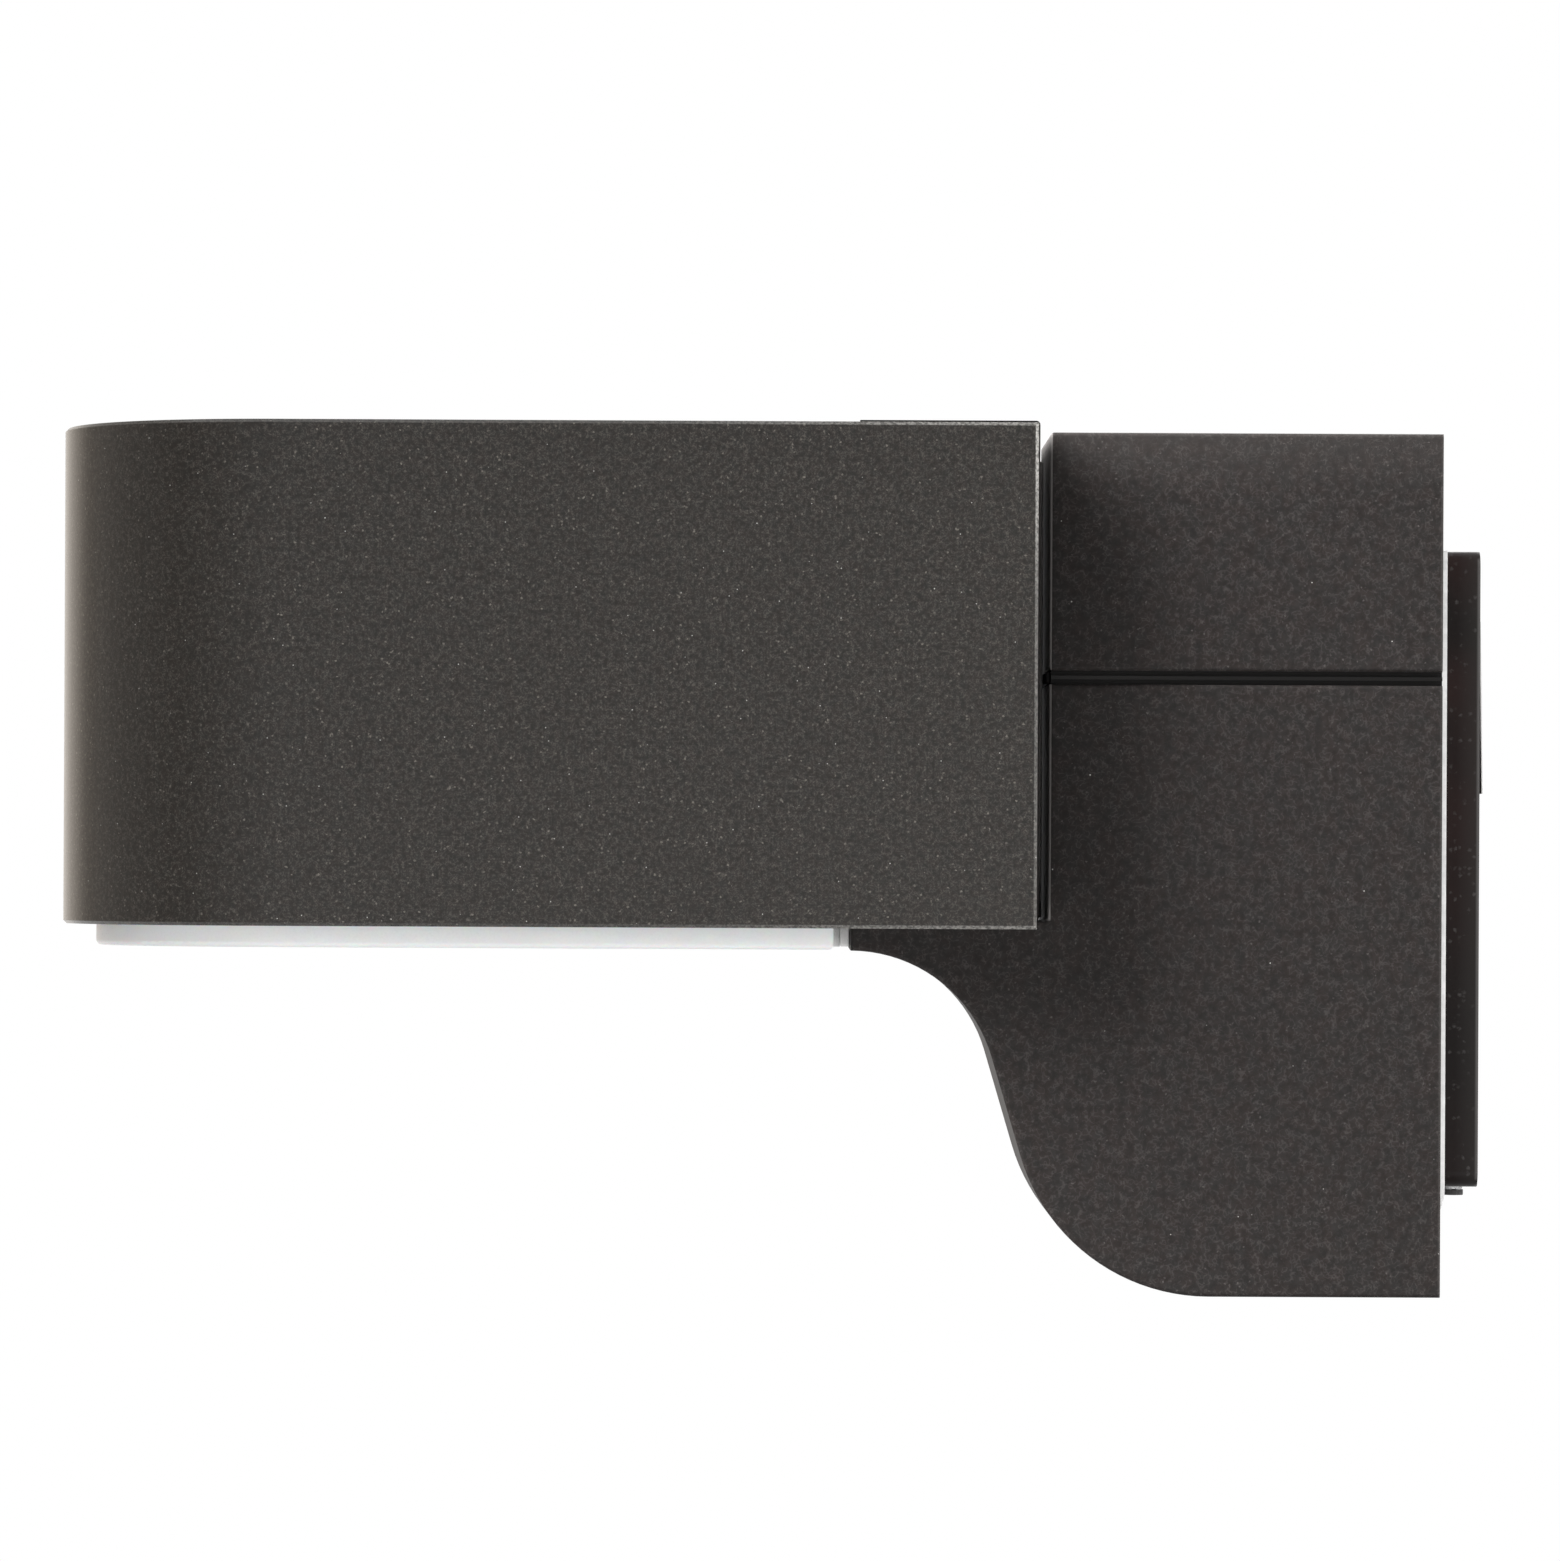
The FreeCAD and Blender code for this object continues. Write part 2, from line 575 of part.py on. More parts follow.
def build_locking_screw():
    """Headless screw, driven from below, that lifts the back plate against the wall plate."""
    body = new_body("locking_screw")
    radius, bevel = "lock_diameter / 2", "lock_diameter / 8"
    turn(body, [("0", "0"), (f"{radius} - {bevel}", "0"), (radius, bevel),
                (radius, "lock_length"), ("0", "lock_length")], axis="V_Axis")
    slot = rectangle("-cross_width / 2", "cross_width / 2", f"-{radius}", radius)
    pocket(body, new_sketch(body, "XY_Plane", [slot]), "cross_depth")
    return body


def add_posts(body, height):
    """Screw posts at the bracket's open back, each with a rib to the casting's side wall."""
    spots = both_sides("post_spacing / 2", height, "post_diameter / 2")
    pad(body, new_sketch(body, "YZ_Plane", circles=spots, lift="body_rear"), "post_length",
        "against")
    low, high = f"{height} - post_rib / 2", f"{height} + post_rib / 2"
    ribs = [rectangle("post_spacing / 2", "inner_half", low, high),
            rectangle("-inner_half", "-post_spacing / 2", low, high)]
    pad(body, new_sketch(body, "YZ_Plane", ribs, lift="body_rear"), "post_length", "against")
    drilled = both_sides("post_spacing / 2", height, "screw_diameter / 2 + hole_slack")
    pocket(body, new_sketch(body, "YZ_Plane", circles=drilled, lift="body_rear"),
           "screw_length", "against")


def close_back(body, low, high):
    """The casting's back wall beyond the zinc sheet, which overlaps it."""
    wall = rectangle("-inner_half", "inner_half", low, high)
    pad(body, new_sketch(body, "YZ_Plane", [wall], lift="body_rear"), "body_wall", "against")


def lug_outlines():
    """Plan of the screw lugs in the two front corners of the box."""
    back = "box_inside + lug_size"
    return [rectangle("box_inside", back, "inner_half - lug_size", "inner_half"),
            rectangle("box_inside", back, "-inner_half", "lug_size - inner_half")]


def lug_holes():
    return [("lug_x", "lug_y", "screw_diameter / 2 + hole_slack"),
            ("lug_x", "-lug_y", "screw_diameter / 2 + hole_slack")]


# Arm casting: lower half of the box and the S-shaped arm, hollow, open above and behind the sheet

def build_arm_casting():
    body = new_body("arm_casting")
    profile = [("body_rear", "body_bottom"), ("heel_x", "body_bottom"),
               ("heel_start_x", "heel_start_z", "heel_x", "heel_centre", "right"),
               ("neck_end_x", "neck_end_z"),
               ("tip_x", "tip_bottom", "tip_x", "neck_centre", "left"),
               ("tip_x", "block_bottom"), ("box_front", "block_bottom"),
               ("box_front", "seam_bottom"), ("body_rear", "seam_bottom")]
    solid = pad(body, new_sketch(body, "XZ_Plane", [profile]), "body_width", "both")
    corner = edges_where(solid, lambda p: near(p.x, "box_front") and near(p.z, "block_bottom"))
    solid = soften(body, solid, corner, "corner_round")
    rim = edges_where(solid, lambda p: near(abs(p.y), "body_width / 2"))
    behind = edges_where(solid, lambda p: near(p.x, "body_rear"))
    soften(body, solid, [name for name in rim if name not in behind], "body_edge")
    hollow = [("body_rear", "hollow_bottom"), ("heel_x", "hollow_bottom"),
              ("hollow_heel_x", "hollow_heel_z", "heel_x", "heel_centre", "right"),
              ("hollow_neck_x", "hollow_neck_z"),
              ("hollow_front", "hollow_front_z", "tip_x", "neck_centre", "left"),
              ("hollow_front", "hollow_roof"), ("box_inside", "hollow_roof"),
              ("box_inside", "seam_bottom"), ("body_rear", "seam_bottom")]
    pocket(body, new_sketch(body, "XZ_Plane", [hollow]), "2 * inner_half", "both")
    close_back(body, "hollow_bottom", "-plate_top")
    add_posts(body, "lower_post_z")
    pad(body, new_sketch(body, "XY_Plane", lug_outlines(), lift="seam_bottom"), "lug_height",
        "against")
    pocket(body, new_sketch(body, "XY_Plane", circles=lug_holes(), lift="seam_bottom"),
           "lug_height", "against")
    top_holes = arm_screw_holes() + [("wire_hole_x", "0", "wire_hole / 2")]
    pocket(body, new_sketch(body, "XY_Plane", circles=top_holes, lift="block_bottom"),
           "platform_thickness", "against")
    earth = [("0", "earth_z", "screw_diameter / 2 + hole_slack")]
    pocket(body, new_sketch(body, "YZ_Plane", circles=earth, lift="box_inside"),
           "earth_screw_length + hole_slack", "against")
    return body


def arm_screw_spots():
    half = "arm_screw_spread / 2"
    return [(along, across) for along in ("arm_screw_front", "arm_screw_rear")
            for across in (half, f"-{half}")]


def arm_screw_holes():
    return [(*spot, "screw_diameter / 2 + hole_slack") for spot in arm_screw_spots()]


# Joint gasket: black rubber strip set back between the two castings, with a bead outside

def build_joint_gasket():
    body = new_body("joint_gasket")
    front = "box_front + fit_gap"
    bead_foot = "seam_bottom + (seam_height - bead_height) / 2"
    for depth, foot, height in (("seam_depth", "seam_bottom", "seam_height"),
                                ("bead_depth", bead_foot, "bead_height")):
        half = f"(body_width / 2 - {depth})"
        strip = [("body_rear", f"-{half}"), ("body_rear", "-inner_half"),
                 ("box_inside", "-inner_half"), ("box_inside", "inner_half"),
                 ("body_rear", "inner_half"), ("body_rear", half), (front, half),
                 (front, f"-{half}")]
        pad(body, new_sketch(body, "XY_Plane", [strip], lift=foot), height)
    return body


# Upper cover: cast box, open below and behind the sheet, its lugs on those of the arm casting

def build_upper_cover():
    body = new_body("upper_cover")
    block = rectangle("box_front", "body_rear", "seam_top", "body_top")
    solid = pad(body, new_sketch(body, "XZ_Plane", [block]), "body_width", "both")
    behind = edges_where(solid, lambda p: near(p.x, "body_rear"))
    rim = edges_where(solid, lambda p: True)
    soften(body, solid, [name for name in rim if name not in behind], "cover_edge")
    hollow = rectangle("box_inside", "body_rear", "seam_top", "body_top - body_wall")
    pocket(body, new_sketch(body, "XZ_Plane", [hollow]), "2 * inner_half", "both")
    close_back(body, "plate_top - back_drop", "body_top - body_wall")
    add_posts(body, "upper_post_z")
    pad(body, new_sketch(body, "XY_Plane", lug_outlines(), lift="seam_bottom"),
        "cover_lug_height")
    pocket(body, new_sketch(body, "XY_Plane", circles=lug_holes(), lift="seam_bottom"),
           "screw_length - lug_height + hole_slack")
    return body


# Lamp block: cast box behind the shade, open to the front, standing on the arm's platform

def build_lamp_block():
    body = new_body("lamp_block")
    outer = rectangle("-head_inner", "head_inner", "block_bottom", "block_top")
    solid = pad(body, new_sketch(body, "YZ_Plane", [outer], lift="block_rear"),
                "block_rear - block_face", "against")
    rim = edges_where(solid, lambda p: near(p.x, "block_rear"))
    soften(body, solid, rim, "block_edge")
    side = "head_inner - block_wall"
    inner = rectangle(f"-({side})", side, "block_floor", "block_top - block_wall")
    depth = "block_rear - block_face - block_wall"
    pocket(body, new_sketch(body, "YZ_Plane", [inner], lift="block_face"), depth)
    near_y, far_y = "stem_y - stem_width / 2", "stem_y + stem_width / 2"
    stems = []
    for low, high in (("block_floor", "block_floor + stem_foot_height"),
                      ("stem_high - stem_width / 2", "stem_high + stem_width / 2")):
        stems += [rectangle(near_y, far_y, low, high),
                  rectangle(f"-({far_y})", f"-({near_y})", low, high)]
    pad(body, new_sketch(body, "YZ_Plane", stems, lift="block_face"), depth)
    drilled = stem_holes()
    pocket(body, new_sketch(body, "YZ_Plane", circles=drilled, lift="block_face"), "screw_length")
    floor_holes = arm_screw_holes() + [("wire_hole_x", "0", "wire_hole / 2")]
    pocket(body, new_sketch(body, "XY_Plane", circles=floor_holes, lift="block_bottom"),
           "block_wall")
    stud_holes = [("stud_x", height, "stud_diameter / 2 + fit_gap") for height in stud_heights()]
    pocket(body, new_sketch(body, "XZ_Plane", circles=stud_holes), "2 * head_inner", "both")
    return body


def stem_holes():
    """Holes of the four screws that hold lid, diffuser frame and front plate to the block."""
    slack = "screw_diameter / 2 + hole_slack"
    return both_sides("stem_y", "stem_high", slack) + both_sides("stem_y", "frame_screw_z", slack)


def stud_heights():
    return ["stud_low_z", "stud_high_z"]


# Holder plate: front of the lamp block, white so that it throws the light forward

def build_holder_plate():
    body = new_body("holder_plate")
    top = "lid_top - lid_thickness - fit_gap"
    outer = rectangle("-head_inner", "head_inner", "block_bottom", top)
    holes = stem_holes() + [("0", "lamp_axis", "holder_neck + hole_slack")]
    pad(body, new_sketch(body, "YZ_Plane", [outer], holes, lift="block_face"),
        "holder_plate_thickness", "against")
    return body


# Shade band: bent aluminium strip, U-shaped from above, with four studs welded inside

def build_shade_band():
    body = new_body("shade_band")
    half, inner = "shade_width / 2", "shade_inner"
    strip = [("shade_rear", f"-({half})"), ("nose_x", f"-({half})"),
             ("nose_x", half, "nose_x", "0", "right"), ("shade_rear", half),
             ("shade_rear", inner), ("nose_x", inner),
             ("nose_x", f"-{inner}", "nose_x", "0", "left"), ("shade_rear", f"-{inner}")]
    solid = pad(body, new_sketch(body, "XY_Plane", [strip], lift="shade_bottom"), "shade_height")
    middle = Vector(number("nose_x"), 0, 0)

    def outside(point):
        across = abs(point.y) if point.x > middle.x else math.hypot(point.x - middle.x, point.y)
        return near(across, half)

    rim = edges_where(solid, outside)
    soften(body, solid, rim, "shade_edge", "Chamfer")
    studs = [("stud_x", height, "stud_diameter / 2") for height in stud_heights()]
    for lift, way in (("-shade_inner", "along"), ("shade_inner", "against")):
        pad(body, new_sketch(body, "XZ_Plane", circles=studs, lift=lift), "stud_length", way)
    return body


def build_nut():
    """Hexagon nut for a stud, flat on the plane Z = 0."""
    body = new_body("stud_nut")
    point, flat = "nut_point", "nut_width / 2"
    hexagon = [(point, "0"), (f"{point} / 2", flat), (f"-{point} / 2", flat), (f"-{point}", "0"),
               (f"-{point} / 2", f"-{flat}"), (f"{point} / 2", f"-{flat}")]
    bore = [("0", "0", "stud_diameter / 2 + hole_slack")]
    pad(body, new_sketch(body, "XY_Plane", [hexagon], bore), "nut_height")
    return body


# Top lid: pressed sheet with a skirt all round and a flap over the holder plate, dropped into
# the shade and screwed at its back

def build_top_lid():
    body = new_body("top_lid")
    foot = "lid_top - lid_skirt"
    outer = nose_outline("head_inner", "block_front")
    pad(body, new_sketch(body, "XY_Plane", [outer], lift=foot), "lid_skirt")
    inner = nose_outline("head_inner - lid_thickness", "block_front - lid_thickness")
    pocket(body, new_sketch(body, "XY_Plane", [inner], lift=foot), "lid_skirt - lid_thickness")
    flap = rectangle("block_front", "block_face - fit_gap", "-head_inner", "head_inner")
    pad(body, new_sketch(body, "XY_Plane", [flap], lift="lid_top - lid_thickness"),
        "lid_thickness")
    holes = both_sides("stem_y", "stem_high", "screw_diameter / 2 + hole_slack")
    pocket(body, new_sketch(body, "YZ_Plane", circles=holes, lift="block_front"),
           "lid_thickness", "against")
    return body


# Diffuser frame: ring inside the shade that the diffuser's seal closes against

def build_diffuser_frame():
    body = new_body("diffuser_frame")
    inner = nose_outline("head_inner - frame_width", "block_front - frame_width")
    pad(body, new_sketch(body, "XY_Plane", [nose_outline("head_inner", "block_front"), inner],
                         lift="frame_bottom"), "frame_height")
    near_y, far_y = "stem_y - stem_width / 2", "stem_y + stem_width / 2"
    top = "frame_bottom + frame_back"
    ears = [rectangle(near_y, far_y, "frame_bottom", top),
            rectangle(f"-({far_y})", f"-({near_y})", "frame_bottom", top)]
    pad(body, new_sketch(body, "YZ_Plane", ears, lift="block_front"), "frame_height", "against")
    holes = both_sides("stem_y", "frame_screw_z", "screw_diameter / 2 + hole_slack")
    pocket(body, new_sketch(body, "YZ_Plane", circles=holes, lift="block_front"),
           "frame_height", "against")
    return body


# Seal: silicone ring on the diffuser's lip

def build_diffuser_seal():
    body = new_body("diffuser_seal")
    ring = [nose_outline("lip_half", "lip_rear"),
            nose_outline("lip_half - seal_width", "lip_rear - seal_width")]
    pad(body, new_sketch(body, "XY_Plane", ring, lift="lip_top"), "seal_height")
    return body


# Diffuser tray: opal tray with a lip, pushed up into the shade from below

def build_diffuser_tray():
    body = new_body("diffuser_tray")
    pad(body, new_sketch(body, "XY_Plane", [nose_outline("diffuser_half", "diffuser_rear")],
                         lift="diffuser_bottom"), "diffuser_height")
    pad(body, new_sketch(body, "XY_Plane", [nose_outline("lip_half", "lip_rear")],
                         lift="lip_top"), "lip_height", "against")
    inner = nose_outline("diffuser_half - diffuser_wall", "diffuser_rear - diffuser_wall")
    pocket(body, new_sketch(body, "XY_Plane", [inner], lift="lip_top"),
           "diffuser_height - diffuser_wall", "against")
    rim = edges_where(body.Tip, lambda p: near(p.z, "diffuser_bottom"))
    soften(body, body.Tip, rim, "diffuser_wall / 2")
    return body


# Diffuser catch: grey tab behind the tray, in front of the arm's tip, that one pulls it down by

def build_diffuser_catch():
    body = new_body("diffuser_catch")
    back = "diffuser_rear + catch_thickness"
    plan = rectangle("diffuser_rear", back, "-catch_width / 2", "catch_width / 2")
    solid = pad(body, new_sketch(body, "XY_Plane", [plan], lift="diffuser_bottom + fit_gap"),
                "catch_height")
    rim = edges_where(solid, lambda p: near(p.x, back) and near(abs(p.y), "catch_width / 2"))
    soften(body, solid, rim, "corner_round")
    return body


# Lampholder: porcelain body clamped in the holder plate, with screw shell and contact

def build_holder_body():
    body = new_body("holder_body")
    shoulder = "block_face + holder_shoulder"
    wide = "holder_neck + holder_shoulder"
    turn(body, [("holder_rear", "0"), ("holder_rear", "holder_radius"),
                (shoulder, "holder_radius"), (shoulder, wide), ("block_face", wide),
                ("block_face", "holder_neck"), ("holder_front", "holder_neck"),
                ("holder_front", "shell_radius + hole_slack"),
                ("socket_end", "shell_radius + hole_slack"), ("socket_end", "0")],
         rise="lamp_axis")
    foot = rectangle("wire_hole_x - wire_hole / 2", "wire_hole_x + wire_hole / 2", "-wire_hole / 2",
                     "wire_hole / 2")
    pad(body, new_sketch(body, "XY_Plane", [foot], lift="holder_bottom"),
        "holder_foot + holder_radius / 2")
    return body


def build_holder_ring():
    body = new_body("holder_ring")
    bore = "holder_neck + hole_slack"
    front = "block_front - ring_height"
    turn(body, [("block_front", bore), ("block_front", f"{bore} + ring_width"),
                (front, f"{bore} + ring_width - ring_height / 4"), (front, bore)],
         rise="lamp_axis")
    return body


def build_holder_shell():
    body = new_body("holder_shell")
    inner, ring = "shell_radius - shell_wall", "shell_radius / 2"
    base, front = "socket_end - shell_wall", "socket_end - shell_length"
    turn(body, [("socket_end", ring), ("socket_end", "shell_radius"), (front, "shell_radius"),
                (front, inner), (base, inner), (base, ring)], rise="lamp_axis")
    return body


def build_disc(label, rear, front, radius):
    """A round disc on the lamp's axis."""
    body = new_body(label)
    turn(body, [(rear, "0"), (rear, radius), (front, radius), (front, "0")], rise="lamp_axis")
    return body


# Lamp: screw-cap bulb lying along the shade

def build_lamp_collar():
    body = new_body("lamp_collar")
    turn(body, [("cap_front", "0"), ("cap_front", "collar_radius"),
                ("collar_front", "globe_mouth"), ("collar_front", "0")], rise="lamp_axis")
    return body


def build_lamp_globe():
    body = new_body("lamp_globe")
    tip = "globe_x - globe_radius"
    turn(body, [("collar_front", "globe_mouth"), (tip, "0", "globe_x", "0", "left"),
                (f"{tip} + globe_wall", "0"),
                ("collar_front", "globe_mouth_inner", "globe_x", "0", "right")],
         rise="lamp_axis")
    return body


# Wiring: terminal block on the back plate, bush through the arm, three insulated wires

def build_terminal_block():
    body = new_body("terminal_block")
    outer = rectangle("-terminal_width / 2", "terminal_width / 2", "terminal_bottom",
                      "terminal_top")
    pad(body, new_sketch(body, "YZ_Plane", [outer], lift="body_rear"), "terminal_depth", "against")
    wells = [(across, height, "terminal_well / 2") for across, height in terminal_wells()]
    pocket(body, new_sketch(body, "YZ_Plane", circles=wells, lift="terminal_front"),
           "terminal_well_depth")
    return body


def pole_offsets():
    return ["-terminal_pitch", "0", "terminal_pitch"]


def terminal_wells():
    heights = ("terminal_top - terminal_well", "terminal_bottom + terminal_well")
    return [(across, height) for across in pole_offsets() for height in heights]


def build_wire_bush():
    body = new_body("wire_bush")
    bore = "bush_radius - bush_wall"
    wide = "bush_radius + bush_flange"
    top = "block_floor + bush_wall"
    turn(body, [(bore, "hollow_roof"), ("bush_radius", "hollow_roof"),
                ("bush_radius", "block_floor"), (wide, "block_floor"), (wide, top), (bore, top)],
         axis="V_Axis")
    bind(body, "Placement.Base.x", "wire_hole_x")
    return body


def build_wire(label, corners):
    """An insulated wire along straight runs with tangent bends, square at both ends."""
    points = [Vector(*(number(value) for value in corner)) for corner in corners]
    bend = number("wire_bend")
    edges = []
    start = points[0]
    for before, corner, after in zip(points, points[1:], points[2:]):
        back = (before - corner).normalize()
        ahead = (after - corner).normalize()
        half_angle = back.getAngle(ahead) / 2
        cut = bend / math.tan(half_angle)
        arrive, leave = corner + back * cut, corner + ahead * cut
        inward = (back + ahead).normalize()
        middle = corner + inward * (bend / math.sin(half_angle) - bend)
        edges.append(Part.LineSegment(start, arrive).toShape())
        edges.append(Part.Arc(arrive, middle, leave).toShape())
        start = leave
    edges.append(Part.LineSegment(start, points[-1]).toShape())
    path = Part.Wire(edges)
    section = Part.makeCircle(number("wire_diameter / 2"), points[0], points[1] - points[0])
    wire = doc.addObject("Part::Feature", label)
    wire.Label = label
    wire.Shape = path.makePipeShell([Part.Wire(section)], True, False)
    return wire


def supply_wire(label, pole, lane):
    """A wire from a pole of the terminal block, through the arm, up to the lampholder."""
    return build_wire(label, [("well_x", pole, "terminal_bottom"),
                              ("well_x", pole, "terminal_exit"),
                              ("wire_hole_x", lane, "wire_z"),
                              ("wire_hole_x", lane, "holder_bottom")])


def earth_wire():
    """The earth wire, from the middle pole to the earth screw in the box's front wall."""
    beside = "box_inside + wire_diameter / 2 + hole_slack"
    above = "earth_z - screw_head / 2 - hole_slack"
    return build_wire("earth_wire", [("well_x", "0", "terminal_bottom"),
                                     ("well_x", "0", "terminal_exit"),
                                     (beside, "0", "terminal_exit"), (beside, "0", above)])


arm_screw = new_pan_head("arm_screw", "arm_screw_length")
earth_bolt = new_pan_head("earth_bolt", "earth_screw_length")
terminal_screw = new_screw("terminal_screw", "terminal_screw_diameter", "terminal_head",
                           "terminal_crown", "terminal_head_height", "terminal_screw_length")

nodes = [
    build_wall_plate(),
    build_grommet(),
    build_back_plate(),
    copies("back_plate_screws", common_screw,
           [("plate_front", across, height)
            for height in ("upper_post_z", "lower_post_z")
            for across in ("post_spacing / 2", "-post_spacing / 2")], HEAD_TO_WALL),
    copies("locking_screws", build_locking_screw(),
           [("-lock_inset", across, "-plate_top - lock_proud")
            for across in ("lock_spacing / 2", "-lock_spacing / 2")]),
    build_arm_casting(),
    build_joint_gasket(),
    build_upper_cover(),
    copies("cover_screws", common_screw,
           [("lug_x", across, "seam_bottom - lug_height") for across in ("lug_y", "-lug_y")],
           Rotation(Vector(1, 0, 0), 180)),
    build_lamp_block(),
    copies("arm_screws", arm_screw, [(*spot, "block_floor") for spot in arm_screw_spots()]),
    build_holder_plate(),
    copies("block_screws", common_screw,
           [("block_front - lid_thickness", across, "stem_high") for across in ("stem_y", "-stem_y")]
           + [("block_front - frame_height", across, "frame_screw_z")
              for across in ("stem_y", "-stem_y")], HEAD_TO_FRONT),
    build_shade_band(),
    copies("shade_nuts", build_nut(),
           [("stud_x", across, height) for height in stud_heights()
            for across in ("head_inner - block_wall", "nut_height + block_wall - head_inner")],
           Rotation(Vector(1, 0, 0), 90)),
    build_top_lid(),
    build_diffuser_frame(),
    build_diffuser_seal(),
    build_diffuser_tray(),
    build_diffuser_catch(),
    build_holder_body(),
    build_holder_ring(),
    build_holder_shell(),
    build_disc("holder_contact", "socket_end", "socket_end - contact_height", "contact_radius"),
    build_disc("lamp_contact", "lamp_end", "lamp_end - button_height", "contact_radius"),
    build_disc("lamp_insulator", "lamp_end - button_height", "cap_rear", "insulator_radius"),
    build_disc("lamp_cap", "cap_rear", "cap_front", "cap_radius"),
    build_lamp_collar(),
    build_lamp_globe(),
    build_terminal_block(),
    copies("terminal_screws", terminal_screw,
           [("terminal_front + terminal_well_depth - terminal_screw_length", *well)
            for well in terminal_wells()], HEAD_TO_FRONT),
    build_wire_bush(),
    supply_wire("live_wire", "-terminal_pitch", "-wire_pitch"),
    supply_wire("neutral_wire", "terminal_pitch", "wire_pitch"),
    earth_wire(),
    copies("earth_screw", earth_bolt, [("box_inside", "0", "earth_z")], HEAD_TO_WALL),
]

doc.recompute()
for item in doc.Objects:
    if "Invalid" in item.State or "Error" in item.State:
        raise RuntimeError(f"{item.Label} did not build: {item.State}")
os.makedirs("parts", exist_ok=True)
for node in nodes:
    if node.Shape.isNull() or not node.Shape.isValid():
        raise RuntimeError(f"{node.Label} has no valid shape")
    node.Shape.exportStep(f"parts/{node.Label}.step")
    print(node.Label, len(node.Shape.Solids), round(node.Shape.Volume, 1))
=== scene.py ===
import math

import bmesh
import bpy
from mathutils import Matrix, Vector


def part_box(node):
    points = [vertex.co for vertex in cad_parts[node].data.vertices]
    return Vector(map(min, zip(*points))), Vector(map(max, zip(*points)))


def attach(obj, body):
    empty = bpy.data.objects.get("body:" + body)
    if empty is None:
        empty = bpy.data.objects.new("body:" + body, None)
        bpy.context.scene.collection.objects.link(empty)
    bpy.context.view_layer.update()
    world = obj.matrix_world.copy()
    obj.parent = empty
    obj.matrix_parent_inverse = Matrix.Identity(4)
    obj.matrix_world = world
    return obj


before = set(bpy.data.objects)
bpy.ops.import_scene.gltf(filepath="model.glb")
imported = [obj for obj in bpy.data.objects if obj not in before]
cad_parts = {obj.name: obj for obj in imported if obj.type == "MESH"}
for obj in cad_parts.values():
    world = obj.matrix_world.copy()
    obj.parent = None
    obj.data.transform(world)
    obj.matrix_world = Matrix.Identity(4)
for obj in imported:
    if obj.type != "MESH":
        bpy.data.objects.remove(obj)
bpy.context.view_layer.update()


# Wall plate: a black moulding of glass-filled plastic, open towards the bracket.
# Its face is finely grained by the mould, a little rusty brown above and dusty towards
# the wall, where its back edge is rubbed. Two screws hold it to the wall.

def new_group(name, inputs, outputs):
    """A shader node group with named sockets, and its input and output nodes."""
    group = bpy.data.node_groups.new(name, "ShaderNodeTree")
    for title, kind, value in inputs:
        socket = group.interface.new_socket(title, in_out="INPUT", socket_type="NodeSocket" + kind)
        socket.default_value = value
    for title, kind in outputs:
        group.interface.new_socket(title, in_out="OUTPUT", socket_type="NodeSocket" + kind)
    return group, group.nodes.new("NodeGroupInput"), group.nodes.new("NodeGroupOutput")


def feed(tree, socket, value):
    """Links a socket to another one, or sets it to a plain value."""
    if isinstance(value, bpy.types.NodeSocket):
        tree.links.new(value, socket)
    else:
        socket.default_value = value


def add_node(tree, kind, settings=(), **values):
    """A node with its settings, and with the sockets named in values set or linked."""
    node = tree.nodes.new("ShaderNode" + kind)
    for setting, choice in dict(settings).items():
        setattr(node, setting, choice)
    for title, value in values.items():
        feed(tree, node.inputs[title.replace("_", " ")], value)
    return node


def mix_colours(tree, factor, first, second, blend="MIX"):
    """The colour output of a Mix node between two colours."""
    node = add_node(tree, "Mix", {"data_type": "RGBA", "blend_type": blend})
    for socket, value in ((node.inputs[0], factor), (node.inputs[6], first), (node.inputs[7], second)):
        feed(tree, socket, value)
    return node.outputs[2]


def reckon(tree, operation, *terms):
    """The output of a Math node over sockets and plain numbers."""
    node = add_node(tree, "Math", {"operation": operation})
    for socket, term in zip(node.inputs, terms):
        feed(tree, socket, term)
    return node.outputs[0]


def remap(tree, value, low, high, first, last):
    """A value taken from the range low to high onto the range first to last."""
    return add_node(tree, "MapRange", Value=value, From_Min=low, From_Max=high, To_Min=first,
                    To_Max=last).outputs[0]


